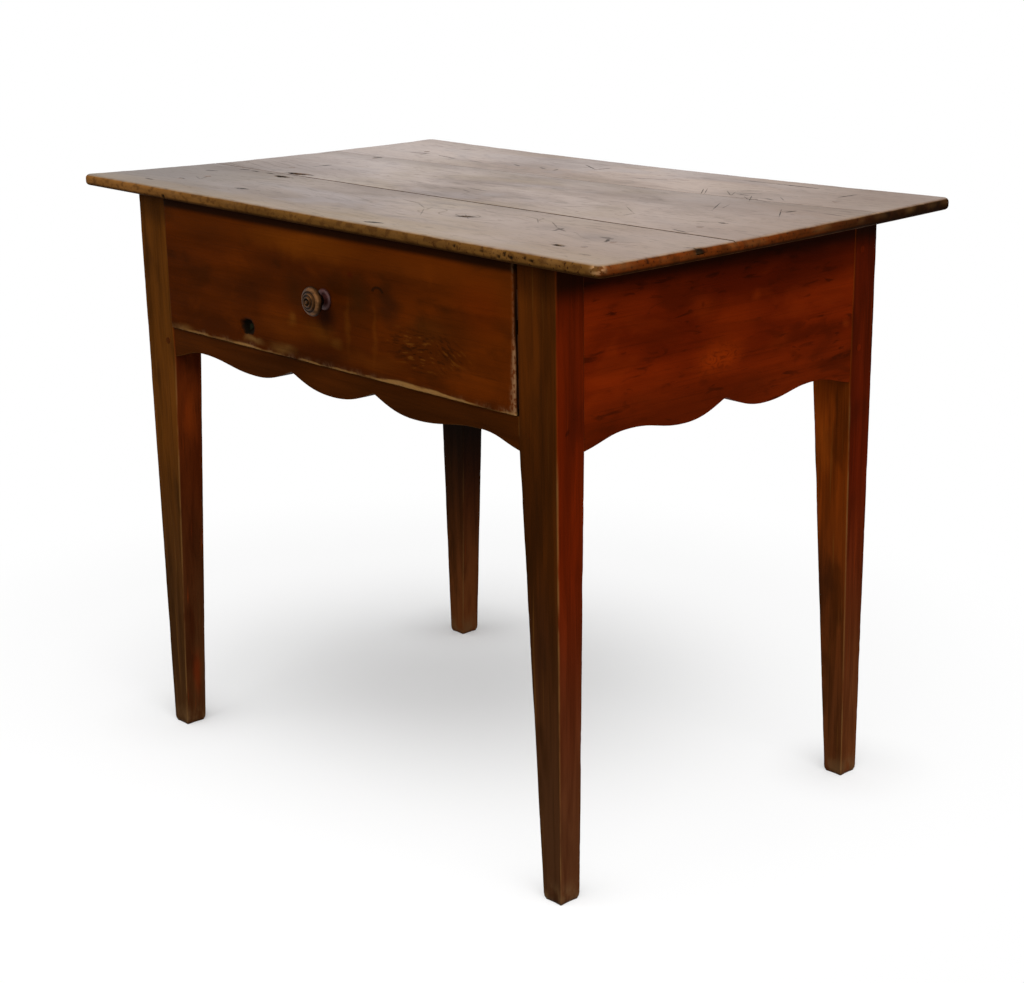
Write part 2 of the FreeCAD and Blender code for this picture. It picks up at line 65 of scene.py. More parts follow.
# Outline of the top and the joints of its boards, at the left and the right end
top_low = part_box("top_board_front")[0]
top_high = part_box("top_board_back")[1]
top_length = top_high.x - top_low.x
top_depth = top_high.y - top_low.y
top_under = top_low.z
left_skew = 0.014
crack_place_shares = (0.3415, 0.347)
tight_joint_place_shares = (0.6885, 0.764)
crack_width = 0.003
top_corner_round = 0.012
tip_reach = 0.0025
left_tip_reach = 0.0080
back_right_reach = 0.0035
top_upper_round = 0.0052
top_lower_round = 0.0044
crack_round = 0.0010
tight_joint_round = 0.0006
board_step = 0.0027
board_wall_cuts = 5
rim_shares = (0.0, 0.08, 0.28, 0.6, 1.0)

# Sag and lift of the old top
left_back_drop = 0.0018
left_sag = 0.0035
right_back_lift = 0.0073
back_sag = 0.0035

# Legs
leg_taper_start = 0.509
foot_width = 0.0275
foot_depth = 0.0295
leg_arris_round = 0.0022
leg_arris_segments = 4
leg_wear_reach = 0.0022
leg_face_cuts = 9
leg_ring_step = 0.0040
leg_rub_depth = 0.0016
leg_unevenness = 0.0002
foot_round_height = 0.007
foot_round_depth = 0.0026
warp_fade_height = 0.05

# Aprons and rail
arris_ease = 0.0012
merge_distance = 0.00001
flat_angle_deg = 0.2
sharp_angle_deg = 35

# Drawer front
drawer_low, drawer_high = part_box("drawer_front")
drawer_step = 0.0026
drawer_rim_round = 0.0011
drawer_end_gap = 0.0018
drawer_wall_cuts = 9
drawer_wall_wear = 0.0012
drawer_unevenness = 0.00025
low_bite_reach = 0.008
low_bite_depth = 0.0016
right_bite_reach = 0.0014
right_bite_widening = 0.0080
right_bite_height = 0.09
right_bite_depth = 0.0014
knot_hole_place = (-0.143, 0.572)
knot_hole_radii = (0.013, 0.009)
knot_hole_depth = 0.006

# Pegs of the top: a row at each end, whose middle is this far from the front edge
peg_row_middle = 0.274
peg_row_half = 0.219
peg_radius = 0.0044
peg_proud = 0.0002
peg_rim_round = 0.0006
peg_segments = 16
peg_place_shares = (-0.94, -0.75, -0.15, 0.48, 0.90)

# Knob and its rose: radii, and distances out from the drawer front
rose_radius = 0.0124
rose_thickness = 0.0055
rose_bevel = 0.0004
rose_dome = (
    # share of the radius, distance out
    (1.00, 0.0014),
    (0.96, 0.0028),
    (0.84, 0.0042),
    (0.66, 0.0051),
    (0.45, rose_thickness),
)
knob_profile = (
    # radius, distance out from the rose, dirt, wear; the worn rims also serve as painted highlights
    (0.0000, 0.0000, 0, 0),
    (0.0060, 0.0000, 0, 0),
    (0.0064, 0.0006, 1, 0),
    (0.0064, 0.0036, 1, 0),
    (0.0085, 0.0070, 1, 0),
    (0.0130, 0.0088, 1, 0),
    (0.0158, 0.0096, 0, 0),
    (0.0172, 0.0112, 0, 0),
    (0.0172, 0.0126, 0, 0),
    (0.0166, 0.0143, 0, 0),
    (0.0150, 0.0160, 0, 1),
    (0.0128, 0.0172, 0, 1),
    (0.0118, 0.0172, 0, 0),
    (0.0113, 0.0166, 1, 0),
    (0.0108, 0.0169, 0, 0),
    (0.0102, 0.0182, 0, 0),
    (0.0090, 0.0191, 0, 1),
    (0.0080, 0.0192, 0, 0),
    (0.0074, 0.0185, 1, 0),
    (0.0069, 0.0187, 0, 0),
    (0.0063, 0.0199, 0, 0),
    (0.0052, 0.0206, 0, 1),
    (0.0044, 0.0203, 0, 0),
    (0.0037, 0.0190, 1, 0),
    (0.0029, 0.0191, 1, 0),
    (0.0023, 0.0207, 0, 0),
    (0.0011, 0.0218, 0, 1),
    (0.0000, 0.0220, 0, 0),
)
knob_spin_steps = 40
knob_smooth_levels = 2

# Relief of the finishes: the heights that their bumps stand for
wood_relief = 0.00022
bare_wood_relief = 0.0003
peg_relief = 0.0002
bronze_relief = 0.00012
metal_relief = 0.0001


def warp(x, y):
    """How far the old top stands above a flat one."""
    u = (x - top_low.x) / top_length
    v = (y - top_low.y) / top_depth
    left = -left_back_drop * v - 4 * left_sag * v * (1 - v)
    right = right_back_lift * v * v
    return (1 - u) * left + u * right - 4 * back_sag * u * (1 - u) * v * v


# Shader building

class Tone:
    """One output of a shader node. Sums and products of tones and numbers add Math nodes."""

    def __init__(self, tree, socket):
        self.tree = tree
        self.socket = socket

    def math(self, operation, *values):
        return self.tree.node("ShaderNodeMath", {"operation": operation}, dict(enumerate(values)))

    def __add__(self, other):
        return self.math("ADD", self, other)

    def __radd__(self, other):
        return self.math("ADD", other, self)

    def __sub__(self, other):
        return self.math("SUBTRACT", self, other)

    def __rsub__(self, other):
        return self.math("SUBTRACT", other, self)

    def __mul__(self, other):
        return self.math("MULTIPLY", self, other)

    def __rmul__(self, other):
        return self.math("MULTIPLY", other, self)

    def __truediv__(self, other):
        return self.math("DIVIDE", self, other)

    def __pow__(self, other):
        return self.math("POWER", self, other)

    def size(self):
        return self.math("ABSOLUTE", self)

    def most(self, other):
        return self.math("MAXIMUM", self, other)

    def wave(self):
        """A zigzag that is 0 at even numbers and 1 at odd ones."""
        return self.math("PINGPONG", self, 1.0)

    def ramp(self, low, high):
        """A soft step from 0 at low to 1 at high; low may be the larger."""
        return self.tree.node("ShaderNodeMapRange", {"interpolation_type": "SMOOTHSTEP"},
                              {"Value": self, "From Min": low, "From Max": high})


class Nodes:
    """A node tree in the making: every node comes from the method node."""

    def __init__(self, tree):
        self.tree = tree

    def node(self, kind, settings, inputs, output=0):
        made = self.tree.nodes.new(kind)
        for name, value in settings.items():
            setattr(made, name, value)
        for name, value in inputs.items():
            if isinstance(value, Tone):
                self.tree.links.new(value.socket, made.inputs[name])
            else:
                made.inputs[name].default_value = value
        return Tone(self, made.outputs[output])

    def link(self, tone, shader, name):
        self.tree.links.new(tone.socket, shader.inputs[name])

    def seen(self):
        """1 for rays from the camera, a mirror or a glass, and 0 for rays that light the object."""
        path = self.node("ShaderNodeLightPath", {}, {}, "Is Camera Ray")
        glossy = self.node("ShaderNodeLightPath", {}, {}, "Is Glossy Ray")
        through = self.node("ShaderNodeLightPath", {}, {}, "Is Transmission Ray")
        return path.most(glossy).most(through)


class Finish(Nodes):
    """A material in the making, with the patterns that the woods and metals share."""

    def __init__(self, name, constants):
        self.material = bpy.data.materials.new(name)
        self.material.use_nodes = True
        super().__init__(self.material.node_tree)
        self.shader = self.tree.nodes["Principled BSDF"]
        for socket, value in constants.items():
            self.shader.inputs[socket].default_value = value
        self.spot = self.node("ShaderNodeTexCoord", {}, {}, "Object")
        self.x, self.y, self.z = self.parts(self.spot)

    def parts(self, vector):
        return [self.node("ShaderNodeSeparateXYZ", {}, {0: vector}, axis) for axis in "XYZ"]

    def facing(self):
        """The direction of the surface, in parts."""
        return self.parts(self.node("ShaderNodeNewGeometry", {}, {}, "Normal"))

    def noise(self, rates, detail=2.0, distortion=0.0, move=(0.0, 0.0, 0.0), output=0):
        """Soft noise with so many waves to the metre on each axis."""
        place = self.node("ShaderNodeMapping", {}, {"Vector": self.spot, "Location": move, "Scale": rates})
        return self.node("ShaderNodeTexNoise", {}, {"Vector": place, "Scale": 1.0, "Detail": detail,
                                                    "Distortion": distortion}, output)

    def bent(self, rate, amount):
        """The place on the piece, pushed about by noise, for spots with ragged outlines."""
        push = self.noise((rate, rate, rate), detail=3.0, output="Color")
        centred = self.node("ShaderNodeVectorMath", {"operation": "SUBTRACT"}, {0: push, 1: (0.5, 0.5, 0.5)})
        return self.node("ShaderNodeVectorMath", {"operation": "MULTIPLY_ADD"},
                         {0: centred, 1: (amount, amount, amount), 2: self.spot})

    def turned_place(self, centre, sizes, turn_deg, axis, spot):
        """The place on the piece, from a centre, in units of three sizes, turned about an axis."""
        turn = [0.0, 0.0, 0.0]
        turn[axis] = math.radians(turn_deg)
        return self.node("ShaderNodeMapping", {"vector_type": "TEXTURE"},
                         {"Vector": spot, "Location": centre, "Rotation": turn, "Scale": sizes})

    def reach(self, centre, radii, turn_deg=0.0, spot=None):
        """Distance from a centre in units of its radii, turned about Z, so that 1 is the rim."""
        place = self.turned_place(centre, radii, turn_deg, 2, spot or self.spot)
        return self.node("ShaderNodeVectorMath", {"operation": "LENGTH"}, {0: place}, "Value")

    def strokes(self, lengths, turn_deg):
        """Noise whose waves have these lengths on axes turned about Y."""
        place = self.turned_place((0.0, 0.0, 0.0), lengths, turn_deg, 1, self.spot)
        return self.node("ShaderNodeTexNoise", {}, {"Vector": place, "Scale": 1.0, "Detail": 3.0})

    def even_lines(self, field, width):
        """Thin even lines where a field passes even numbers, strongest where they turn across the grain."""
        here = field((0.0, 0.0, 0.0))
        along = field((line_probe, 0.0, 0.0)) - here
        across = field((0.0, line_probe, 0.0)) - here
        slope = (along * along + across * across) ** 0.5
        turned = (along.size() / slope).ramp(*turned_line_shares)
        return (here.wave() * line_probe / slope).ramp(width, width / 3) * turned

    def mark(self, name):
        """A mark that a piece's own points or faces carry, 0 where they have none."""
        return self.node("ShaderNodeAttribute", {"attribute_name": name}, {}, "Fac")

    def mix(self, share, first, second):
        return self.node("ShaderNodeMix", {"data_type": "RGBA"}, {0: share, 6: first, 7: second}, 2)

    def ground(self, share, dark, light):
        """Starts the colour, as a mix of two tones."""
        self.tone = self.mix(share, dark, light)

    def shade(self, share, tone):
        """Lays a tone over the colour so far."""
        self.tone = self.mix(share, self.tone, tone)

    def paint(self, roughness, height, relief, coat=None):
        """Feeds the shader; height is a tone and relief the metres that it stands for."""
        bump = self.node("ShaderNodeBump", {}, {"Height": height, "Distance": relief, "Strength": 1.0})
        self.link(self.tone, self.shader, "Base Color")
        self.link(roughness, self.shader, "Roughness")
        self.link(bump, self.shader, "Normal")
        if coat is not None:
            self.link(coat, self.shader, "Coat Weight")
        return self.material


line_probe = 0.0004
growth_line_width = 0.0016
turned_line_shares = (0.02, 0.30)
wide = 1.0
waxed = {"Specular IOR Level": 0.005, "Coat Roughness": 0.30, "Coat IOR": 1.6}


def linear(value):
    return value / 12.92 if value <= 0.04045 else ((value + 0.055) / 1.055) ** 2.4


def colour(red, green, blue):
    """A shader colour from screen values of 0 to 255."""
    return tuple(linear(value / 255) for value in (red, green, blue)) + (1.0,)


def stretched(across, along, axis):
    """Waves to the metre across the grain on two axes and along it on the third."""
    rates = [across, across, across]
    rates[axis] = along
    return tuple(rates)


# Wood of the top

top_knots = (
    # x, y, half length, half width of the swelling round it, and how many growth lines it pushes aside
    (0.135, -0.160, 0.075, 0.030, 3.0),
    (0.350, -0.165, 0.060, 0.028, 2.4),
    (0.050, -0.150, 0.070, 0.030, -2.4),
    (0.230, -0.125, 0.050, 0.022, 2.2),
    (-0.040, -0.030, 0.060, 0.030, 2.6),
    (0.235, -0.012, 0.070, 0.030, -2.6),
    (-0.345, 0.182, 0.060, 0.026, 2.4),
    (-0.110, 0.186, 0.060, 0.024, 2.4),
    (0.100, 0.040, 0.050, 0.022, 2.4),
    (0.330, 0.070, 0.050, 0.024, 2.4),
    (0.010, 0.200, 0.045, 0.020, 2.4),
    (0.260, 0.215, 0.050, 0.022, -2.4),
)
top_strokes = (
    # from x, y, to x, y, half width, darkness
    (-0.309, -0.071, -0.271, -0.067, 0.0042, 0.95),
    (-0.298, -0.100, -0.270, -0.101, 0.0034, 0.9),
    (-0.383, -0.094, -0.369, -0.093, 0.0026, 0.8),
    (-0.358, -0.094, -0.345, -0.095, 0.0024, 0.8),
    (-0.326, -0.093, -0.313, -0.094, 0.0024, 0.8),
    (-0.400, -0.134, -0.390, -0.129, 0.0030, 0.7),
    (-0.361, -0.179, -0.332, -0.192, 0.0009, 0.4),
    (-0.332, -0.192, -0.347, -0.171, 0.0011, 0.4),
    (-0.356, -0.205, -0.348, -0.206, 0.0026, 0.8),
    (-0.382, -0.238, -0.366, -0.240, 0.0022, 0.6),
    (-0.230, -0.207, -0.216, -0.205, 0.0034, 0.9),
    (-0.340, -0.009, -0.337, 0.004, 0.0016, 0.6),
    (-0.338, 0.004, -0.337, 0.015, 0.0028, 0.9),
    (-0.358, 0.109, -0.350, 0.110, 0.0032, 0.9),
    (-0.361, 0.175, -0.335, 0.181, 0.0022, 0.6),
    (-0.335, 0.181, -0.335, 0.168, 0.0016, 0.5),
    (-0.306, 0.180, -0.268, 0.173, 0.0017, 0.6),
    (-0.268, 0.173, -0.270, 0.164, 0.0014, 0.5),
    (-0.237, 0.173, -0.210, 0.170, 0.0017, 0.5),
    (-0.335, 0.244, -0.314, 0.249, 0.0022, 0.5),
    (-0.162, 0.185, -0.146, 0.179, 0.0020, 0.6),
    (-0.115, 0.187, -0.099, 0.181, 0.0020, 0.6),
    (-0.080, 0.178, -0.085, 0.190, 0.0018, 0.6),
    (-0.087, 0.243, -0.046, 0.220, 0.0011, 0.8),
    (-0.046, 0.220, -0.039, 0.241, 0.0018, 0.8),
    (-0.068, -0.021, -0.037, -0.016, 0.0012, 0.4),
    (-0.037, -0.016, -0.010, -0.027, 0.0013, 0.4),
    (-0.010, -0.027, -0.001, -0.050, 0.0008, 0.4),
    (-0.038, -0.004, -0.004, -0.008, 0.0016, 0.5),
    (-0.021, -0.123, 0.017, -0.130, 0.0014, 0.4),
    (0.017, -0.130, 0.053, -0.151, 0.0008, 0.4),
    (0.053, -0.151, 0.091, -0.189, 0.0007, 0.4),
    (0.061, -0.154, 0.057, -0.142, 0.0011, 0.4),
    (0.128, -0.164, 0.142, -0.158, 0.0042, 0.9),
    (0.122, -0.150, 0.150, -0.170, 0.0007, 0.5),
    (0.089, -0.264, 0.107, -0.258, 0.0034, 0.9),
    (0.182, -0.113, 0.202, -0.115, 0.0014, 0.35),
    (0.202, -0.115, 0.226, -0.136, 0.0007, 0.45),
    (0.232, -0.121, 0.266, -0.145, 0.0008, 0.5),
    (0.266, -0.145, 0.286, -0.154, 0.0018, 0.6),
    (0.276, -0.160, 0.271, -0.142, 0.0022, 0.6),
    (0.342, -0.154, 0.359, -0.156, 0.0030, 0.5),
    (0.358, -0.160, 0.366, -0.172, 0.0020, 0.8),
    (0.341, -0.221, 0.353, -0.222, 0.0036, 0.95),
    (0.405, -0.241, 0.411, -0.241, 0.0024, 0.4),
    (0.153, -0.033, 0.176, -0.016, 0.0016, 0.4),
    (0.208, 0.018, 0.254, -0.016, 0.0006, 0.5),
    (0.254, -0.016, 0.255, -0.036, 0.0014, 0.45),
    (0.032, 0.186, 0.096, 0.214, 0.0016, 0.5),
    (0.165, 0.263, 0.225, 0.264, 0.0014, 0.6),
    (0.225, 0.264, 0.290, 0.262, 0.0017, 0.9),
    (0.208, 0.144, 0.181, 0.179, 0.0006, 0.8),
    (0.211, 0.147, 0.185, 0.181, 0.0005, 0.7),
    (0.216, 0.182, 0.244, 0.157, 0.0006, 0.7),
    (0.244, 0.157, 0.229, 0.182, 0.0006, 0.6),
    (0.225, 0.189, 0.251, 0.209, 0.0014, 0.8),
    (0.236, 0.177, 0.262, 0.189, 0.0010, 0.8),
    (0.243, 0.171, 0.259, 0.170, 0.0014, 0.8),
    (0.258, 0.147, 0.283, 0.163, 0.0009, 0.7),
    (0.262, 0.160, 0.279, 0.148, 0.0007, 0.7),
    (0.293, 0.163, 0.305, 0.160, 0.0014, 0.6),
    (0.303, 0.076, 0.290, 0.104, 0.0006, 0.6),
    (0.290, 0.137, 0.266, 0.169, 0.0006, 0.8),
    (0.272, 0.148, 0.290, 0.152, 0.0018, 0.7),
    (0.301, 0.063, 0.274, 0.105, 0.0006, 0.9),
    (0.298, 0.183, 0.322, 0.162, 0.0006, 0.5),
    (0.342, -0.016, 0.369, 0.000, 0.0012, 0.5),
    (0.369, -0.002, 0.379, -0.002, 0.0024, 0.8),
    (0.364, -0.068, 0.386, -0.073, 0.0020, 0.6),
    (0.394, 0.068, 0.361, 0.111, 0.0006, 0.9),
    (0.379, 0.100, 0.380, 0.112, 0.0022, 0.9),
    (0.354, 0.224, 0.358, 0.246, 0.0020, 0.8),
    (0.410, 0.119, 0.449, 0.115, 0.0014, 0.5),
    (0.283, 0.151, 0.312, 0.146, 0.0009, 0.6),
    (0.277, 0.163, 0.300, 0.165, 0.0011, 0.5),
    (0.449, -0.144, 0.463, -0.134, 0.0012, 0.9),
)
top_stains = (
    # x, y, half length, half width, share
    (0.345, -0.160, 0.060, 0.034, 0.60),
    (0.262, -0.145, 0.045, 0.028, 0.40),
    (0.135, -0.160, 0.034, 0.020, 0.45),
    (0.255, 0.170, 0.070, 0.045, 0.40),
    (-0.030, -0.030, 0.055, 0.032, 0.25),
    (0.200, 0.085, 0.200, 0.050, 0.30),
    (-0.350, 0.178, 0.040, 0.020, 0.25),
)
whole_depth = (-1.0, -0.9)
# painted reflection: broad fades that stand in for the top's changing sheen
top_sheen_fades = (
    # x where it starts and where it is full, the same along y, share, tone
    ((0.00, 0.40), whole_depth, 0.70, colour(113, 88, 69)),
    ((0.15, 0.42), (0.12, 0.22), 0.35, colour(78, 56, 40)),
    ((-0.10, -0.36), (-0.10, -0.05), 0.60, colour(156, 140, 133)),
    ((-0.06, -0.42), (0.12, -0.20), 0.90, colour(62, 43, 28)),
)
stain_wander = 0.030
stroke_margin = 0.012
joint_shade_reach = 0.055
stroke_widening = 1.15
front_edge_depths = (0.075, 0.010)
growth_sway_rates = (2.4, 6.5, 1.0)
growth_rate = 130.0
growth_sway = 16.0

# Rim of the top: places where a change starts and where it is full
left_rim_fade = (-0.05, -0.40)
back_rim_fade = (-0.08, 0.20)
right_speck_fade = (0.14, 0.28)
# a pale spot on the near corner: rubbed wear with a painted highlight
worn_corner_glint = (top_high.x, top_low.y, 0.0)
worn_corner_glint_radii = (0.014, 0.014, wide)


def ring_field(finish, move, knots):
    """The field whose even values are the growth lines: it climbs with y, sways, and swells at the knots."""
    def field(shift):
        place = [start + step * rate for start, step, rate in zip(move, shift, growth_sway_rates)]
        sway = finish.noise(growth_sway_rates, detail=1.0, move=place)
        climb = (finish.y + shift[1]) * growth_rate + sway * growth_sway
        for x, y, length, width, swell in knots:
            centre = (x - shift[0], y - shift[1], top_high.z)
            climb = climb + swell * finish.reach(centre, (length, width, wide)).ramp(1.0, 0.0)
        return climb

    return field


def stroke_mask(finish, strokes):
    """Scratches, dents and knots in the top, darkest along their middles."""
    ragged = finish.noise((210.0, 300.0, 150.0), detail=3.0)
    marks = 0.0
    for x0, y0, x1, y1, half_width, dark in strokes:
        centre = ((x0 + x1) / 2, (y0 + y1) / 2, top_high.z)
        half_width = half_width * stroke_widening
        radii = (math.hypot(x1 - x0, y1 - y0) / 2 + half_width, half_width, wide)
        turn = math.degrees(math.atan2(y1 - y0, x1 - x0))
        near = finish.reach(centre, radii, turn) + (ragged - 0.5) * 1.8
        shade = near.ramp(1.25, 0.55) * dark
        marks = shade.most(marks)
    return marks


def near_board(rows, low, high):
    """The rows of a table of marks that lie on a board, or near its joints."""
    return [row for row in rows if low - stroke_margin < row[1] < high + stroke_margin]


def top_ground(finish, move, low, high, joint):
    """Tints and smudges of a board, painted changes of its sheen from end to end, its stains, and dirt along
    a joint.
    """
    tints = finish.noise((5.0, 11.0, 1.0), detail=3.0, distortion=0.6, move=move)
    finish.shade(tints.ramp(0.50, 0.66) * 0.50, colour(122, 102, 76))
    finish.shade(tints.ramp(0.48, 0.34) * 0.45, colour(126, 116, 116))
    smudges = finish.noise((9.0, 26.0, 1.0), detail=4.0, distortion=1.2, move=move).ramp(0.54, 0.70)
    finish.shade(smudges * 0.45, colour(74, 55, 41))
    # painted reflection: lighter and darker from end to end as the sheen changes
    for along, across, share, tone in top_sheen_fades:
        finish.shade(finish.x.ramp(*along) * finish.y.ramp(*across) * share, tone)
    stained = finish.bent(16.0, stain_wander)
    for x, y, length, width, share in near_board(top_stains, low, high):
        stain = finish.reach((x, y, top_high.z), (length, width, wide), spot=stained).ramp(1.0, 0.0)
        finish.shade(stain * share, colour(72, 50, 34))
    if joint:
        slope = (joint[1] - joint[0]) / top_length
        middle = top_low.y + (joint[0] + joint[1]) / 2
        near = (finish.y - slope * finish.x).ramp(middle - joint_shade_reach, middle)
        finish.shade(near * 0.45, colour(80, 61, 47))


def top_wood(name, move, low, high, dark, fair, joint=None):
    """Scrubbed grey-brown boards with thin wandering growth lines, browner on their rounded rims."""
    finish = Finish(name, waxed)
    patches = finish.noise((3.5, 8.0, 1.0), detail=4.0, move=move).ramp(0.34, 0.66)
    streaks = finish.noise((5.0, 46.0, 20.0), detail=3.0, distortion=0.5, move=move).ramp(0.32, 0.68)
    flecks = finish.noise((22.0, 130.0, 20.0), detail=3.0, distortion=2.0, move=move).ramp(0.55, 0.66)
    pores = finish.noise((60.0, 480.0, 20.0), detail=2.0, move=move).ramp(0.58, 0.74)
    field = ring_field(finish, move, near_board(top_knots, low, high))
    shown = finish.noise((6.0, 14.0, 1.0), detail=2.0, move=move).ramp(0.36, 0.60)
    lines = finish.even_lines(field, growth_line_width) * shown
    marks = stroke_mask(finish, near_board(top_strokes, low, high))
    dirt = finish.mark("dirt")
    finish.ground(patches, dark, fair)
    top_ground(finish, move, low, high, joint)
    front_edge = finish.y.ramp(*[top_low.y + depth for depth in front_edge_depths])
    finish.shade(front_edge * (0.25 + 0.35 * streaks), colour(120, 96, 62))
    finish.shade(streaks * 0.05, colour(76, 58, 46))
    finish.shade(flecks * 0.30, colour(60, 43, 32))
    finish.shade(pores * 0.30, colour(46, 34, 27))
    finish.shade(lines * 0.24, colour(44, 31, 24))
    finish.shade(marks, colour(16, 10, 8))
    lift = finish.facing()[2]
    upward = lift.ramp(0.70, 0.97)
    finish.shade(1.0 - upward, rim_tone(finish, streaks, lift))
    worn = finish.noise((40.0, 40.0, 40.0), detail=4.0).ramp(0.46, 0.62)
    finish.shade(lift.ramp(0.66, 0.86) * lift.ramp(0.995, 0.95) * worn * 0.22, colour(160, 130, 95))
    finish.shade(lift.ramp(-0.5, -0.9), finish.mix(streaks, colour(70, 42, 20), colour(50, 28, 12)))
    finish.shade(dirt, colour(12, 7, 5))
    finish.shade(finish.mark("wear") * 0.45, colour(124, 88, 48))
    roughness = 0.46 + 0.16 * streaks + 0.12 * patches
    height = 0.2 * streaks - 0.7 * pores
    dull = (1.0 - 0.85 * marks) * (1.0 - dirt) * (1.0 - 0.35 * lines) * (1.0 - 0.15 * flecks)
    coat = upward * dull * (0.46 + 0.16 * patches)
    return finish.paint(roughness, height, wood_relief, coat)


def rim_tone(finish, streaks, lift):
    """Brown of the top's rounded edges: tan along the front, redder round the ends, with painted shade below
    and a painted highlight on the near corner.
    """
    side = finish.facing()[0].size().ramp(0.35, 0.85)
    front = finish.mix(finish.x.ramp(*left_rim_fade), colour(96, 64, 27), colour(132, 88, 42))
    ends = finish.mix(finish.y.ramp(*back_rim_fade), colour(96, 42, 10), colour(22, 11, 5))
    tone = finish.mix(side, front, ends)
    tone = finish.mix(streaks * 0.35, tone, colour(52, 29, 9))
    blots = finish.noise((90.0, 90.0, 140.0), detail=4.0).ramp(0.48, 0.62)
    tone = finish.mix(blots * 0.45, tone, colour(48, 24, 8))
    specks = finish.noise((320.0, 320.0, 320.0), detail=2.0).ramp(0.60, 0.68)
    tone = finish.mix(specks * (0.25 + 0.55 * finish.x.ramp(*right_speck_fade)), tone, colour(34, 10, 4))
    # painted shade on the lower part of the rounded edges, deepest round the ends
    below = lift.ramp(0.30 - 0.35 * (1.0 - side), -0.60)
    tone = finish.mix(below * (0.6 + 0.3 * side), tone, colour(22, 10, 3))
    # painted highlight, with rubbed wear, on the near corner
    corner = finish.reach(worn_corner_glint, worn_corner_glint_radii).ramp(1.2, 0.4)
    return finish.mix(corner * blots.ramp(1.0, 0.2) * lift.ramp(-0.2, 0.3), tone, colour(208, 164, 118))


# Woods of the frame and the drawer

pale_rub = colour(124, 90, 48)
spot_wander = 0.022


class Varnish(Finish):
    """Old varnished wood, with its grain along one axis."""

    def __init__(self, name, axis, dark, light):
        super().__init__(name, {"Specular IOR Level": 0.005})
        self.clouds = self.noise(stretched(10.0, 3.0, axis), detail=3.0).ramp(0.32, 0.68)
        self.figure = self.noise(stretched(75.0, 5.0, axis), detail=3.0, distortion=0.8).ramp(0.35, 0.68)
        self.fibres = self.noise(stretched(520.0, 9.0, axis), detail=2.0)
        self.ragged = self.bent(28.0, spot_wander)
        self.ground(self.clouds, dark, light)

    def grain(self, figure_share, figure_tone, fibre_share, fibre_tone):
        self.shade(self.figure * figure_share, figure_tone)
        self.shade(self.fibres.ramp(0.54, 0.74) * fibre_share, fibre_tone)

    def spots(self, rows, axis):
        """Soft spots on a face across an axis: two places, two half sizes, a share and a tone."""
        for first, second, half_first, half_second, share, tone in rows:
            centre = [first, second]
            radii = [half_first, half_second]
            centre.insert(axis, 0.0)
            radii.insert(axis, wide)
            self.shade(self.reach(centre, radii, spot=self.ragged).ramp(1.0, 0.0) * share, tone)

    def overhang_shadow(self, depths, share, tone):
        """Painted shadow of the overhanging top: none at the first depth below it, full at the second."""
        self.shade(self.z.ramp(top_under - depths[0], top_under - depths[1]) * share, tone)

    def rub(self, share, rates, tone):
        """Wear along the arrises, broken up by noise."""
        broken = self.noise(rates, detail=4.0).ramp(0.36, 0.58)
        self.shade(self.mark("wear") * broken * share, tone)

    def varnished(self, roughness=0.44):
        shine = roughness + 0.14 * self.figure
        return self.paint(shine, 0.5 * self.figure + self.fibres, wood_relief)


leg_tones = {
    # dark and light of the front and back, dark and light of the sides, and the faded foot
    "leg_front_left": (colour(74, 40, 8), colour(100, 55, 13), colour(66, 24, 5), colour(96, 38, 9),
                       colour(72, 46, 23)),
    "leg_front_right": (colour(52, 23, 3), colour(80, 37, 5), colour(78, 19, 1), colour(102, 28, 3),
                        colour(84, 52, 29)),
    # its foot lighter, to make up for the shade under the table: painted light
    "leg_back_left": (colour(76, 34, 6), colour(98, 47, 10), colour(66, 24, 5), colour(92, 36, 8),
                      colour(112, 62, 30)),
    # front lighter than the near leg's, to make up for the shade under the table: painted light
    "leg_back_right": (colour(106, 43, 5), colour(140, 60, 9), colour(64, 15, 1), colour(86, 22, 3),
                       colour(104, 58, 28)),
}
leg_spots = {
    # axis across the face, the two places on it, two half sizes, share, tone
    "leg_front_left": (
        # painted light on the inner face, and painted shade just above it
        (0, -0.242, 0.430, 0.016, 0.055, 0.55, colour(128, 50, 9)),
        (0, -0.240, 0.500, 0.024, 0.024, 0.60, colour(30, 11, 3)),
        (0, -0.238, 0.250, 0.014, 0.090, 0.45, colour(40, 14, 4)),
        (0, -0.244, 0.070, 0.013, 0.050, 0.50, colour(128, 44, 11)),
    ),
    "leg_front_right": (
        (1, 0.360, 0.310, 0.028, 0.110, 0.40, colour(30, 16, 8)),
        (1, 0.352, 0.420, 0.018, 0.060, 0.30, colour(36, 17, 5)),
    ),
    "leg_back_right": (
        (1, 0.350, 0.250, 0.026, 0.100, 0.55, colour(34, 20, 11)),
        (1, 0.347, 0.430, 0.020, 0.060, 0.40, colour(150, 72, 16)),
    ),
}
leg_peg_spots = (
    # y, z, half width, half height, share, tone
    (-0.247, 0.536, 0.004, 0.005, 0.9, colour(22, 6, 2)),
)
# the back-left leg, given painted shade on its front and inner faces
shade_painted_leg = "leg_back_left"
shaded_legs = ("leg_front_right", "leg_back_right")

# Heights on the legs where a change starts and where it is full
foot_fade = (0.42, 0.04)
shaded_fade = (0.46, 0.20)
shade_painted_fade = (0.06, 0.36)
shade_painted_rub_fade = (0.34, 0.12)
block_fade = (0.47, 0.53)
scuff_fade = (0.034, 0.004)
leg_overhang_shadow_depths = (0.046, 0.018)


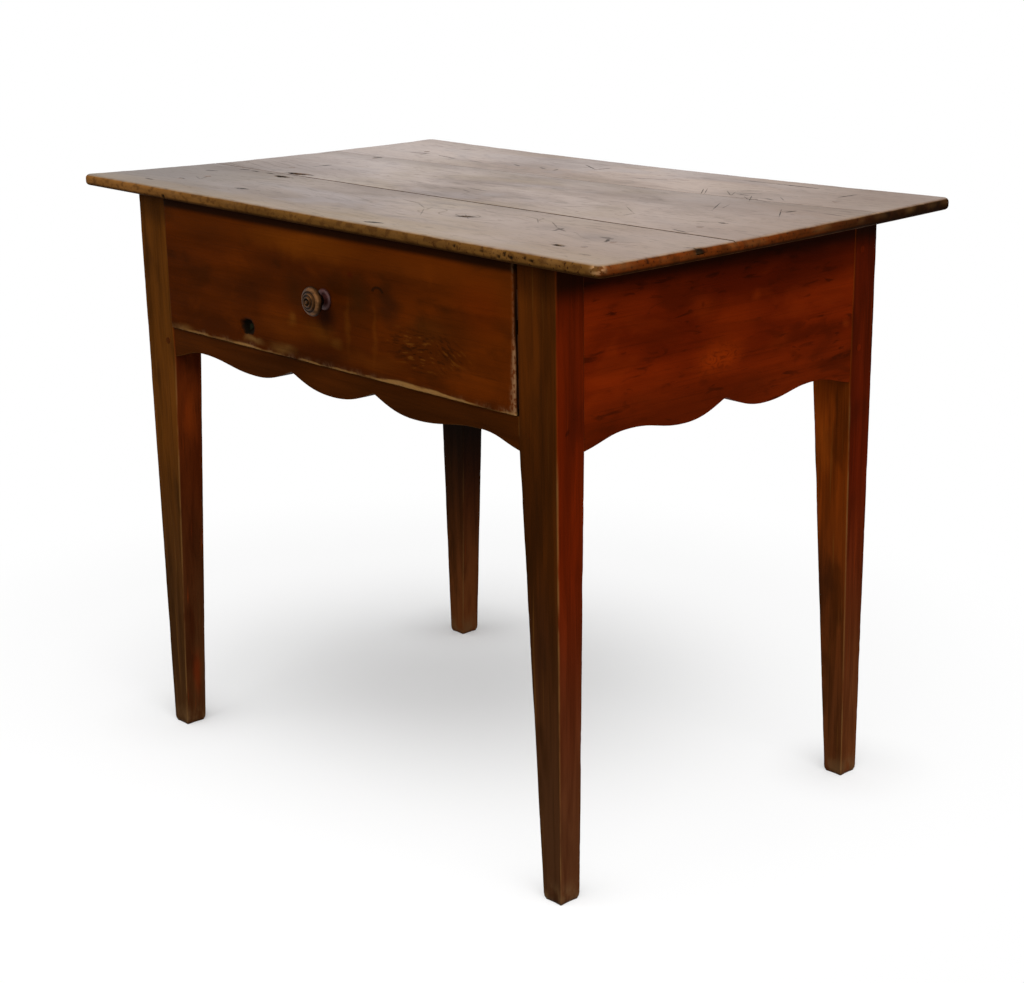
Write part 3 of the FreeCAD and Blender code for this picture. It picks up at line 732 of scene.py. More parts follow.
def leg_wood(name, front_dark, front_light, side_dark, side_light, foot, spots=(), shade_painted=False, shaded=False):
    """A leg's wood: browner to the front, redder to the sides, greyer and scuffed towards the foot."""
    finish = Varnish(name, 2, front_dark, front_light)
    across, along, _ = finish.facing()
    side = across.size().ramp(0.45, 0.85)
    finish.shade(side, finish.mix(finish.clouds, side_dark, side_light))
    finish.shade(finish.z.ramp(*foot_fade) * 0.8, foot)
    if shaded:
        finish.shade((1.0 - side) * finish.z.ramp(*shaded_fade) * 0.35, colour(34, 18, 9))
    mottle = finish.noise((30.0, 30.0, 9.0), detail=3.0, move=(5.0, 2.0, 0.0))
    finish.shade(mottle.ramp(0.52, 0.68) * 0.45, finish.mix(side, colour(34, 17, 3), colour(50, 12, 2)))
    finish.grain(0.45, finish.mix(side, colour(34, 16, 3), colour(48, 12, 2)), 0.30, colour(24, 10, 2))
    pale = finish.noise((260.0, 260.0, 5.0), detail=2.0, move=(3.0, 1.0, 0.0)).ramp(0.62, 0.78)
    finish.shade(pale * 0.42, finish.mix(side, colour(108, 70, 26), colour(126, 46, 9)))
    for axis, *row in spots:
        finish.spots((row,), axis)
    finish.spots(leg_peg_spots, 0)
    # painted shadow of the overhanging top, deeper on the sides
    finish.overhang_shadow(leg_overhang_shadow_depths, 0.45 + 0.45 * side, colour(18, 7, 1))
    block = finish.z.ramp(*block_fade)
    rubbed = 1.0 - 0.6 * block
    # painted shade on the front and inner faces, and less rub high up
    if shade_painted:
        inner = across.ramp(0.3, 0.8).most(along.ramp(-0.3, -0.8))
        finish.shade(inner * finish.z.ramp(*shade_painted_fade), colour(20, 15, 11))
        rubbed = finish.z.ramp(*shade_painted_rub_fade)
    finish.rub(0.70 * rubbed, (60.0, 60.0, 16.0), finish.mix(block, pale_rub, colour(122, 56, 15)))
    scuffed = finish.z.ramp(*scuff_fade) * finish.noise((70.0, 70.0, 40.0), detail=3.0).ramp(0.35, 0.60)
    finish.shade(scuffed * 0.5, colour(110, 82, 52))
    return finish.varnished()


rail_spots = (
    # x, z, half width, half height, share, tone
    (0.000, 0.530, 0.090, 0.030, 0.45, colour(96, 44, 6)),
    (0.260, 0.535, 0.090, 0.030, 0.55, colour(34, 14, 2)),
)


def rail_wood(name):
    """The plain rail below the drawer, and the back."""
    finish = Varnish(name, 0, colour(52, 22, 2), colour(80, 35, 3))
    finish.spots(rail_spots, 1)
    finish.grain(0.4, colour(34, 13, 2), 0.25, colour(26, 10, 2))
    finish.rub(0.40, (50.0, 50.0, 50.0), colour(110, 72, 30))
    return finish.varnished()


apron_spots = (
    # y, z, half length, half height, share, tone
    (-0.110, 0.612, 0.060, 0.022, 0.55, colour(62, 15, 1)),
    (0.000, 0.608, 0.050, 0.018, 0.55, colour(60, 15, 1)),
    (-0.140, 0.552, 0.060, 0.020, 0.45, colour(64, 18, 2)),
    (0.053, 0.541, 0.050, 0.018, 0.50, colour(60, 17, 2)),
    (0.177, 0.544, 0.050, 0.016, 0.50, colour(58, 16, 2)),
    (0.150, 0.660, 0.120, 0.045, 0.65, colour(56, 13, 1)),
    (0.010, 0.620, 0.080, 0.040, 0.70, colour(130, 40, 3)),
    (-0.141, 0.655, 0.050, 0.020, 0.50, colour(120, 36, 4)),
    (0.086, 0.582, 0.030, 0.016, 0.45, colour(122, 40, 5)),
    (0.119, 0.610, 0.040, 0.020, 0.40, colour(112, 34, 4)),
    (0.170, 0.575, 0.060, 0.030, 0.35, colour(60, 16, 2)),
    (-0.044, 0.640, 0.034, 0.026, 0.65, colour(128, 42, 4)),
    (0.045, 0.637, 0.010, 0.009, 0.60, colour(132, 46, 6)),
    (0.204, 0.584, 0.010, 0.008, 0.60, colour(134, 48, 8)),
    (-0.015, 0.580, 0.060, 0.034, 0.85, colour(148, 50, 5)),
    (-0.044, 0.641, 0.006, 0.006, 0.70, colour(58, 14, 2)),
)


apron_low_fade = (0.590, 0.525)
apron_overhang_shadow_depths = (0.048, 0.020)
apron_burr_centre = (0.0, -0.012, 0.577)
apron_burr_radii = (wide, 0.050, 0.026)


def apron_wood(name, marked):
    """Side aprons: orange red with soft flames, and on the seen one a burr and a few spots."""
    finish = Varnish(name, 1, colour(78, 18, 1), colour(120, 35, 3))
    flames = finish.noise((20.0, 13.0, 34.0), detail=3.0, distortion=0.6)
    finish.shade(flames.ramp(0.52, 0.68) * 0.50, colour(54, 13, 1))
    finish.shade(flames.ramp(0.48, 0.30) * 0.22, colour(128, 42, 4))
    ripples = finish.noise((20.0, 24.0, 110.0), detail=3.0, distortion=1.0).ramp(0.56, 0.68)
    finish.shade(ripples * flames.ramp(0.38, 0.56) * 0.70, colour(42, 10, 1))
    finish.shade(finish.z.ramp(*apron_low_fade) * 0.50, colour(58, 18, 2))
    if marked:
        finish.spots(apron_spots, 0)
        burr = finish.reach(apron_burr_centre, apron_burr_radii, spot=finish.ragged).ramp(1.1, 0.2)
        swirl = finish.noise((60.0, 60.0, 90.0), detail=3.0, distortion=2.0).ramp(0.45, 0.62)
        finish.shade(burr * swirl * 0.65, colour(62, 17, 2))
    finish.grain(0.25, colour(58, 13, 1), 0.22, colour(40, 10, 1))
    # painted shadow of the overhanging top
    finish.overhang_shadow(apron_overhang_shadow_depths, 0.92, colour(16, 5, 1))
    finish.rub(0.35, (50.0, 50.0, 50.0), colour(126, 62, 20))
    return finish.varnished()


drawer_spots = (
    # x, z, half width, half height, share, tone
    # painted light along the top of the face, under the overhanging top
    (-0.030, 0.684, 0.150, 0.028, 0.80, colour(114, 56, 6)),
    (0.150, 0.680, 0.110, 0.022, 0.40, colour(92, 40, 4)),
    (0.275, 0.655, 0.060, 0.050, 0.55, colour(88, 29, 1)),
    (0.250, 0.572, 0.110, 0.024, 0.55, colour(100, 42, 4)),
    (0.090, 0.566, 0.080, 0.016, 0.45, colour(96, 46, 6)),
    (0.000, 0.585, 0.045, 0.022, 0.50, colour(96, 54, 10)),
    (-0.210, 0.672, 0.100, 0.036, 0.75, colour(46, 17, 1)),
    (-0.130, 0.620, 0.090, 0.036, 0.50, colour(46, 17, 1)),
    (-0.045, 0.625, 0.034, 0.036, 0.75, colour(40, 19, 3)),
    (0.070, 0.632, 0.026, 0.040, 0.70, colour(42, 21, 3)),
    (0.122, 0.630, 0.034, 0.032, 0.75, colour(40, 17, 4)),
    (0.234, 0.623, 0.050, 0.034, 0.60, colour(46, 19, 2)),
    (0.190, 0.615, 0.050, 0.022, 0.45, colour(62, 34, 6)),
    (0.059, 0.657, 0.009, 0.006, 0.70, colour(56, 9, 2)),
    (-0.053, 0.592, 0.013, 0.011, 0.45, colour(116, 74, 24)),
    (0.030, 0.575, 0.018, 0.010, 0.35, colour(112, 70, 22)),
    (0.052, 0.600, 0.007, 0.045, 0.40, colour(98, 52, 8)),
    (0.096, 0.598, 0.006, 0.050, 0.40, colour(100, 50, 8)),
    (-0.130, 0.557, 0.026, 0.007, 0.55, colour(140, 104, 56)),
    (-0.075, 0.556, 0.040, 0.010, 0.45, colour(124, 88, 42)),
    (-0.280, 0.550, 0.036, 0.008, 0.55, colour(130, 94, 48)),
    (0.180, 0.600, 0.090, 0.040, 0.45, colour(42, 21, 4)),
    (-0.060, 0.580, 0.090, 0.028, 0.50, colour(102, 47, 5)),
    # painted shadow of the knob, below it and to its right
    (0.014, 0.604, 0.026, 0.024, 0.90, colour(18, 7, 2)),
)


drawer_burr_centre = (0.180, 0.0, 0.592)
drawer_burr_radii = (0.095, wide, 0.032)
rising_feather_lengths = (0.013, wide, 0.0034)
level_feather_lengths = (0.016, wide, 0.0034)
feather_turn_fade = (0.175, 0.215)
arch_centre = (0.106, 0.0, 0.645)
arch_radii = (0.009, wide, 0.006)
arch_fade = (0.644, 0.647)
low_edge_height = 0.009
# painted light along the top of the drawer front
upper_painted_light_fade = (0.655, 0.692)
drawer_overhang_shadow_depths = (0.015, 0.008)
knot_stain_centre = (-0.141, 0.0, 0.571)
knot_stain_radii = (knot_hole_radii[0], wide, knot_hole_radii[1])
knot_stain_wander = 0.012


def drawer_burr(finish):
    """The feathered burr to the right, and a dark arch above it."""
    burr = finish.reach(drawer_burr_centre, drawer_burr_radii, spot=finish.ragged).ramp(1.1, 0.3)
    rising = finish.strokes(rising_feather_lengths, 20.0)
    level = finish.strokes(level_feather_lengths, -6.0)
    feather = finish.mix(finish.x.ramp(*feather_turn_fade), level, rising)
    feather = finish.parts(feather)[0]
    finish.shade(feather.ramp(0.48, 0.36) * burr * 0.65, colour(28, 13, 2))
    finish.shade(feather.ramp(0.57, 0.68) * burr * 0.50, colour(112, 64, 18))
    arch = (finish.reach(arch_centre, arch_radii) - 1.0).size().ramp(0.35, 0.1)
    finish.shade(arch * finish.z.ramp(*arch_fade) * 0.8, colour(22, 10, 3))


def drawer_wood():
    """Figured wood of the drawer front, with a feathered burr, a lost knot and a scuffed lower edge."""
    finish = Varnish("drawer_front_wood", 0, colour(52, 19, 1), colour(86, 34, 1))
    mottle = finish.noise((14.0, 14.0, 26.0), detail=5.0, distortion=0.3)
    finish.shade(mottle.ramp(0.52, 0.70) * 0.55, colour(40, 16, 1))
    finish.shade(mottle.ramp(0.46, 0.30) * 0.28, colour(100, 42, 2))
    finish.spots(drawer_spots, 1)
    drawer_burr(finish)
    finish.grain(0.22, colour(44, 17, 2), 0.20, colour(28, 11, 2))
    scuffs = finish.noise((16.0, 16.0, 70.0), detail=5.0)
    low_edge = finish.z.ramp(drawer_low.z + low_edge_height, drawer_low.z)
    scuffed = (scuffs + 0.30 * low_edge).ramp(0.66, 0.84) * low_edge.ramp(0.0, 0.4)
    finish.shade(scuffed * 0.85, colour(138, 100, 54))
    ragged = finish.bent(90.0, knot_stain_wander)
    hole = finish.reach(knot_stain_centre, knot_stain_radii, spot=ragged)
    finish.shade(hole.ramp(1.25, 0.85), colour(14, 9, 4))
    finish.shade(hole.ramp(0.55, 0.30) * 0.7, colour(30, 34, 22))
    # dirt at the knot hole, and painted shade on the front's ends, edges and back
    finish.shade(finish.mark("dirt") * hole.ramp(0.4, 0.7), colour(12, 8, 4))
    # painted light: a lighter band along the top of the face, against the shade under the top
    finish.shade(finish.z.ramp(*upper_painted_light_fade) * 0.20, colour(104, 48, 5))
    # painted shadow of the overhanging top
    finish.overhang_shadow(drawer_overhang_shadow_depths, 0.88, colour(16, 6, 1))
    crackle = finish.noise((280.0, 280.0, 200.0), detail=4.0).ramp(0.40, 0.56)
    finish.shade(finish.mark("wear") * (0.15 + 0.85 * crackle) * 0.85, colour(148, 114, 80))
    return finish.varnished(0.42)


def inner_wood(name, axis):
    """Bare old wood inside: dusty brown with fine straight grain, and dark at the drawer's front: stain, with
    painted shade for the gap beside the drawer.
    """
    finish = Finish(name, {"Specular IOR Level": 0.2})
    clouds = finish.noise(stretched(10.0, 3.0, axis), detail=3.0).ramp(0.3, 0.7)
    figure = finish.noise(stretched(150.0, 5.0, axis), detail=3.0, distortion=0.5).ramp(0.35, 0.7)
    fibres = finish.noise(stretched(900.0, 16.0, axis), detail=2.0)
    finish.ground(clouds, colour(112, 78, 46), colour(138, 100, 62))
    finish.shade(figure * 0.6, colour(84, 54, 30))
    finish.shade(fibres.ramp(0.55, 0.75) * 0.4, colour(56, 34, 20))
    # stain, with painted shade for the gap beside the drawer
    finish.shade(finish.y.ramp(drawer_high.y + drawer_rim_round, drawer_high.y), colour(44, 20, 5))
    return finish.paint(0.62 + 0.12 * figure, figure + fibres, bare_wood_relief)


def peg_wood():
    """End grain of the pegs in the top, a little darker than the boards."""
    finish = Finish("peg_wood", waxed)
    grain = finish.noise((700.0, 700.0, 60.0), detail=2.0)
    finish.ground(grain.ramp(0.35, 0.65), colour(84, 64, 50), colour(108, 86, 72))
    upward = finish.facing()[2].ramp(0.70, 0.97)
    return finish.paint(0.55 + 0.1 * grain, grain, peg_relief, upward * (0.44 + 0.1 * grain))


# Metals

def bronze():
    """Aged bronze: dull brown, black in the hollows and rubbed bright on the rims, which also serve as
    painted highlights.
    """
    finish = Finish("bronze", {"Metallic": 1.0})
    blotches = finish.noise((160.0, 160.0, 160.0), detail=3.0).ramp(0.35, 0.65)
    pits = finish.noise((900.0, 900.0, 900.0), detail=2.0)
    dirt = finish.mark("dirt")
    finish.ground(blotches, colour(33, 18, 7), colour(50, 30, 13))
    finish.shade(dirt * 0.95, colour(10, 5, 2))
    # rubbed rims, which also serve as painted highlights
    finish.shade(finish.mark("wear") * (0.2 + 0.5 * blotches), colour(112, 76, 46))
    return finish.paint(0.38 + 0.2 * blotches + 0.2 * dirt, pits, bronze_relief)


def rose_metal():
    """The darker, redder plate behind the knob."""
    finish = Finish("rose_metal", {"Metallic": 0.25, "Specular IOR Level": 0.2})
    blotches = finish.noise((140.0, 140.0, 140.0), detail=3.0).ramp(0.35, 0.65)
    pits = finish.noise((700.0, 700.0, 700.0), detail=2.0)
    finish.ground(blotches, colour(42, 17, 14), colour(62, 28, 25))
    return finish.paint(0.34 + 0.15 * blotches, pits, metal_relief)


def iron():
    """Dark rusty iron of the nails, the nut and the washer."""
    finish = Finish("iron", {"Metallic": 0.6})
    rust = finish.noise((300.0, 300.0, 300.0), detail=3.0).ramp(0.4, 0.65)
    pits = finish.noise((1500.0, 1500.0, 1500.0), detail=2.0)
    finish.ground(rust, colour(52, 46, 42), colour(92, 52, 30))
    return finish.paint(0.5 + 0.3 * rust, pits, metal_relief)


# Meshes

def spread(length, rounds, step):
    """Distances from 0 to a length: close together in the two rounded rims, about a step apart between."""
    first = [rounds[0] * share for share in rim_shares]
    last = [length - rounds[1] * share for share in reversed(rim_shares)]
    run = last[0] - first[-1]
    count = max(1, round(run / step))
    return first + [first[-1] + run * index / count for index in range(1, count)] + last


def slab(column_count, row_count, wall_cuts):
    """A closed slab of cells whose points have their column, row and depth share as coordinates."""
    mesh = bmesh.new()
    bmesh.ops.create_grid(mesh, x_segments=column_count, y_segments=row_count, size=0.5)
    grown = bmesh.ops.extrude_face_region(mesh, geom=mesh.faces[:], use_keep_orig=True)
    lower = [item for item in grown["geom"] if isinstance(item, bmesh.types.BMVert)]
    bmesh.ops.translate(mesh, verts=lower, vec=(0.0, 0.0, -1.0))
    walls = [edge for edge in mesh.edges if edge.verts[0].co.z != edge.verts[1].co.z]
    bmesh.ops.subdivide_edges(mesh, edges=walls, cuts=wall_cuts, use_grid_fill=True)
    bmesh.ops.translate(mesh, verts=mesh.verts[:], vec=(0.5, 0.5, 0.0))
    bmesh.ops.scale(mesh, verts=mesh.verts[:], vec=(column_count, row_count, -1.0))
    return mesh


def quarter(distance, radius):
    """How far a rounded rim has dropped at a distance in from its edge."""
    if distance >= radius:
        return 0.0
    return radius - math.sqrt(max(0.0, radius ** 2 - (radius - distance) ** 2))


def rough(x, y, z, rate):
    """Smooth noise between about -1 and 1."""
    return noise.noise(Vector((x * rate, y * rate, z * rate)))


def fade(distance, reach):
    """1 at no distance, falling to 0 at a reach."""
    return max(0.0, 1 - distance / reach)


def outer_end(low, high):
    """The end of a span that lies further out from the middle of the table."""
    return low if -low > high else high


def piece(name, mesh, material, body, replaced):
    """A finished piece from its mesh: it rides on a body and stands for the nodes it replaces."""
    bmesh.ops.recalc_face_normals(mesh, faces=mesh.faces[:])
    data = bpy.data.meshes.new(name)
    mesh.to_mesh(data)
    mesh.free()
    data.materials.append(material)
    made = bpy.data.objects.new(name, data)
    bpy.context.scene.collection.objects.link(made)
    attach(made, body)
    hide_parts(*replaced)
    return made


# Top

top_gouges = (
    # x, y, half length, half width, depth, turn in degrees
    (-0.290, -0.0690, 0.019, 0.0060, 0.0040, 8),
    (-0.284, -0.1020, 0.013, 0.0045, 0.0030, 4),
    (0.135, -0.1610, 0.008, 0.0045, 0.0015, 25),
    (0.347, -0.2215, 0.006, 0.0036, 0.0020, 0),
    (0.462, -0.1340, 0.005, 0.0085, 0.0016, 0),
    (0.463, -0.2100, 0.004, 0.0028, 0.0010, 0),
)
edge_holes = (
    # x along the front edge, height below the top, radius, depth
    (0.326, 0.0050, 0.0026, 0.0024),
    (0.336, 0.0075, 0.0022, 0.0022),
    (0.318, 0.0085, 0.0020, 0.0018),
    (0.356, 0.0050, 0.0019, 0.0018),
    (0.366, 0.0070, 0.0022, 0.0018),
    (0.292, 0.0060, 0.0020, 0.0016),
    (0.250, 0.0060, 0.0017, 0.0014),
    (-0.286, 0.0100, 0.0030, 0.0020),
)
chip_reach = 0.012
broad_chip_depth = 0.0016
fine_chip_depth = 0.0011
rim_wear_reach = 0.004
full_dirt_depth = 0.0012
top_unevenness = 0.0002
crack_half_width = 0.0009
crack_half_wander = 0.0003
crack_closed_before = -0.27
crack_least_half = 0.0001
crack_closed_wander = 0.0016
crack_ease_reach = 0.02
crack_end_reach = 0.006


def chip(x, y):
    """How much of a rim is rubbed or broken away at a place."""
    broad = max(0.0, rough(x, y, 0.3, 28) - 0.10)
    fine = max(0.0, rough(x, y, 0.7, 130) - 0.15)
    return broad_chip_depth * broad + fine_chip_depth * fine


def gouge_depth(x, y):
    """How deep the gouges are at a place of the top."""
    deepest = 0.0
    for cx, cy, length, width, depth, turn in top_gouges:
        angle = math.radians(turn)
        along = (x - cx) * math.cos(angle) + (y - cy) * math.sin(angle)
        across = (y - cy) * math.cos(angle) - (x - cx) * math.sin(angle)
        reach = (along / length) ** 2 + (across / width) ** 2 + 0.5 * rough(x, y, 0.1, 160)
        deepest = max(deepest, depth * min(1.0, max(0.0, 1.3 * (1 - reach))))
    return deepest


def crack_half_gap(x):
    """Half the open width of the crack: a fine line, closed in places at its left end."""
    gap = crack_half_width + crack_half_wander * rough(x, 0.0, 0.4, 30)
    if x < crack_closed_before:
        gap = max(crack_least_half, crack_closed_wander * rough(x, 0.0, 0.9, 34))
    gap *= min(1.0, (top_high.x + tip_reach - x) / crack_end_reach)
    return min(gap, crack_width / 2)


def corner_inset(end, edge):
    """Distances from an end and a long edge, moved so that the corner between them is round."""
    radius = top_corner_round
    if end >= radius or edge >= radius:
        return end, edge, min(end, edge)
    u = 1 - end / radius
    v = 1 - edge / radius
    u, v = u * math.sqrt(1 - v * v / 2), v * math.sqrt(1 - u * u / 2)
    return radius * (1 - u), radius * (1 - v), radius * (1 - math.hypot(u, v))


def edge_hole_depth(x, below):
    """How deep the worm holes in the front edge are at a place."""
    deepest = 0.0
    for hole_x, hole_below, radius, depth in edge_holes:
        reach = math.hypot(x - hole_x, below - hole_below) / radius
        deepest = max(deepest, depth * max(0.0, 1 - reach * reach))
    return deepest


def board_y(places, share):
    """Where a long edge of a board runs at a share of the top's length."""
    return top_low.y + places[0] + (places[1] - places[0]) * share


def board_x(share, y):
    """The place along the top at a share of its length; its left end is askew, and its tips reach out."""
    left = top_low.x - left_tip_reach + left_skew * (y - top_low.y) / top_depth
    return left + (top_high.x + tip_reach - left) * share


def rim_drop(outer, rim, end, edge, radius, long_round):
    """How far the rounded rims of a board have dropped at a place."""
    if outer:
        return quarter(rim, radius)
    return max(quarter(end, radius), quarter(edge, long_round))


def plank(name, front_places, back_places, outer_sides, rounds, crack_side, material):
    """A board of the top; its long edges are distances from the top's front at the two ends."""
    width = (sum(back_places) - sum(front_places)) / 2
    columns = spread(top_length, (top_upper_round, top_upper_round), board_step)
    rows = spread(width, rounds, board_step)
    mesh = slab(len(columns) - 1, len(rows) - 1, board_wall_cuts)
    wear = mesh.verts.layers.float.new("wear")
    dirt = mesh.verts.layers.float.new("dirt")
    for vert in mesh.verts:
        left = columns[round(vert.co.x)]
        front = rows[round(vert.co.y)]
        depth = vert.co.z
        from_left = left < top_length - left
        from_front = front < width - front
        outer = outer_sides[0 if from_front else 1]
        long_round = rounds[0 if from_front else 1]
        end = rim = min(left, top_length - left)
        edge = min(front, width - front)
        if outer:
            end, edge, rim = corner_inset(end, edge)
        share = (end if from_left else top_length - end) / top_length
        front = edge if from_front else width - edge
        y_front = board_y(front_places, share)
        y = y_front + (board_y(back_places, share) - y_front) * front / width
        x = board_x(share, y)
        upper = top_high.z - rim_drop(outer, rim, end, edge, top_upper_round, long_round)
        upper -= chip(x, y) * fade(rim, chip_reach) ** 2
        lower = top_under + rim_drop(outer, rim, end, edge, top_lower_round, long_round)
        z = upper + (lower - upper) * depth
        hollow = 0.0
        if depth == 0.0:
            hollow = gouge_depth(x, y)
            z += top_unevenness * rough(x * 0.35, y, 0.0, 30) - hollow
        if outer and from_front and edge < top_upper_round:
            hole = edge_hole_depth(x, top_high.z - z)
            hollow = max(hollow, hole)
            y += hole
        if crack_side and (crack_side > 0) != from_front:
            y += crack_side * (crack_width / 2 - crack_half_gap(x)) * fade(edge, crack_ease_reach)
        lip = 0.0 if outer else fade(edge, long_round) * min(1.0, end / crack_end_reach)
        vert[dirt] = max(lip, min(1.0, hollow / full_dirt_depth))
        vert[wear] = fade(rim, rim_wear_reach) * max(0.0, rough(x, y, z, 45)) * (1.0 - depth)
        vert.co = (x, y, z + warp(x, y))
    for face in mesh.faces:
        face.smooth = True
    return piece("worn_" + name, mesh, material, "frame", [name])


def top_boards():
    """The three boards of the top: a crack parts the first two, and the last two meet tight."""
    front = (0.0, 0.0)
    crack = [top_depth * share for share in crack_place_shares]
    crack_far = [place + crack_width for place in crack]
    tight = [top_depth * share for share in tight_joint_place_shares]
    back = (top_depth, top_depth + back_right_reach)
    outer = top_upper_round
    plank("top_board_front", front, crack, (True, False), (outer, crack_round), 1,
          top_wood("top_wood_front", (0.0, 0.0, 0.0), top_low.y, top_low.y + max(crack),
                   colour(100, 82, 70), colour(134, 115, 103)))
    plank("top_board_middle", crack_far, tight, (False, False), (crack_round, tight_joint_round), -1,
          top_wood("top_wood_middle", (3.1, 5.7, 0.0), top_low.y + min(crack), top_low.y + max(tight),
                   colour(108, 89, 77), colour(150, 131, 120), tight))
    plank("top_board_back", tight, back, (False, True), (tight_joint_round, outer), 0,
          top_wood("top_wood_back", (7.3, 2.9, 0.0), top_low.y + min(tight), top_high.y,
                   colour(122, 101, 87), colour(156, 134, 120)))


# Legs

def crowded(place):
    """A place from -1 to 1 across a face, moved so that the cuts crowd towards its arrises."""
    return math.copysign(1 - (1 - min(1.0, abs(place))) ** 1.8, place)


def leg_blank(width, depth, height):
    """A standing block with rounded arrises, cut into rings whose points crowd towards the arrises."""
    mesh = bmesh.new()
    bmesh.ops.create_grid(mesh, x_segments=1, y_segments=1, size=0.5)
    bmesh.ops.scale(mesh, verts=mesh.verts[:], vec=(width, depth, 1.0))
    bmesh.ops.bevel(mesh, geom=mesh.verts[:], offset=leg_arris_round, affect="VERTICES",
                    segments=leg_arris_segments, profile=0.5, material=-1)
    long_edges = [edge for edge in mesh.edges if edge.calc_length() > 3 * leg_arris_round]
    bmesh.ops.bisect_edges(mesh, edges=long_edges, cuts=leg_face_cuts)
    flat_x = width / 2 - leg_arris_round
    flat_y = depth / 2 - leg_arris_round
    for vert in mesh.verts:
        if abs(vert.co.x) < flat_x:
            vert.co.x = flat_x * crowded(vert.co.x / flat_x)
        if abs(vert.co.y) < flat_y:
            vert.co.y = flat_y * crowded(vert.co.y / flat_y)
    grown = bmesh.ops.extrude_face_region(mesh, geom=mesh.faces[:], use_keep_orig=True)
    upper = [item for item in grown["geom"] if isinstance(item, bmesh.types.BMVert)]
    bmesh.ops.translate(mesh, verts=upper, vec=(0.0, 0.0, height))
    uprights = [edge for edge in mesh.edges if edge.verts[0].co.z != edge.verts[1].co.z]
    bmesh.ops.subdivide_edges(mesh, edges=uprights, cuts=round(height / leg_ring_step))
    return mesh


def leg(name, material):
    """A leg with rubbed arrises, tapered on its two inner faces, that reaches up to the warped top."""
    low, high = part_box(name)
    width = high.x - low.x
    depth = high.y - low.y
    height = high.z
    mesh = leg_blank(width, depth, height)
    wear = mesh.verts.layers.float.new("wear")
    outer_x = outer_end(low.x, high.x)
    outer_y = outer_end(low.y, high.y)
    middle = (low + high) / 2
    for vert in mesh.verts:
        z = vert.co.z
        corner = fade(math.hypot(width / 2 - abs(vert.co.x), depth / 2 - abs(vert.co.y)), leg_wear_reach)
        share = min(1.0, z / leg_taper_start)
        slim_x = (foot_width + (width - foot_width) * share) / width
        slim_y = (foot_depth + (depth - foot_depth) * share) / depth
        x = outer_x + (middle.x + vert.co.x - outer_x) * slim_x
        y = outer_y + (middle.y + vert.co.y - outer_y) * slim_y
        rub = max(0.0, rough(x, y, z, 26) - 0.05) + 0.6 * max(0.0, rough(x, y, z, 90) - 0.2)
        foot = fade(z, foot_round_height)
        pull = leg_rub_depth * rub * corner + foot_round_depth * foot * foot
        pull += leg_unevenness * rough(x, y, z, 14)
        centre_x = outer_x + (middle.x - outer_x) * slim_x
        centre_y = outer_y + (middle.y - outer_y) * slim_y
        away = Vector((x - centre_x, y - centre_y))
        away.normalize()
        rise = warp(x, y) * fade(height - z, warp_fade_height)
        vert[wear] = min(1.0, 1.5 * corner) * (0.7 + 0.3 * rough(x, y, z, 20))
        vert.co = (x - away.x * pull, y - away.y * pull, z + rise)
    for face in mesh.faces:
        face.smooth = len(face.verts) == 4
    return piece("worn_" + name, mesh, material, "frame", [name])


# Aprons and rail

def eased(name, material):
    """A copy of a solid with its sharp arrises eased and its top edge brought up to the warped boards."""
    mesh = bmesh.new()
    mesh.from_mesh(nodes[name].data)
    bmesh.ops.remove_doubles(mesh, verts=mesh.verts[:], dist=merge_distance)
    bmesh.ops.dissolve_limit(mesh, angle_limit=math.radians(flat_angle_deg), verts=mesh.verts[:],
                             edges=mesh.edges[:])
    wear = mesh.faces.layers.float.new("wear")
    least = math.radians(sharp_angle_deg)
    sharp = [edge for edge in mesh.edges if edge.is_manifold and edge.calc_face_angle() > least]
    made = bmesh.ops.bevel(mesh, geom=sharp, offset=arris_ease, affect="EDGES", segments=2, profile=0.5,
                           material=-1, clamp_overlap=True)
    for face in mesh.faces:
        face[wear] = 0.0
        face.smooth = False
    for face in made["faces"]:
        face[wear] = 1.0
        face.smooth = True
    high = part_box(name)[1].z
    for vert in mesh.verts:
        if vert.co.z > high - 2 * arris_ease:
            vert.co.z += warp(vert.co.x, vert.co.y)
    return piece("eased_" + name, mesh, material, "frame", [name])


# Drawer front

def knot_hollow(x, z):
    """How deep the lost knot's hole is at a place of the drawer's face."""
    across = (x - knot_hole_place[0]) / knot_hole_radii[0]
    up = (z - knot_hole_place[1]) / knot_hole_radii[1]
    reach = across ** 2 + up ** 2
    return knot_hole_depth * min(1.0, max(0.0, 1.6 * (1 - reach - 0.5 * rough(x, z, 0.2, 120))))


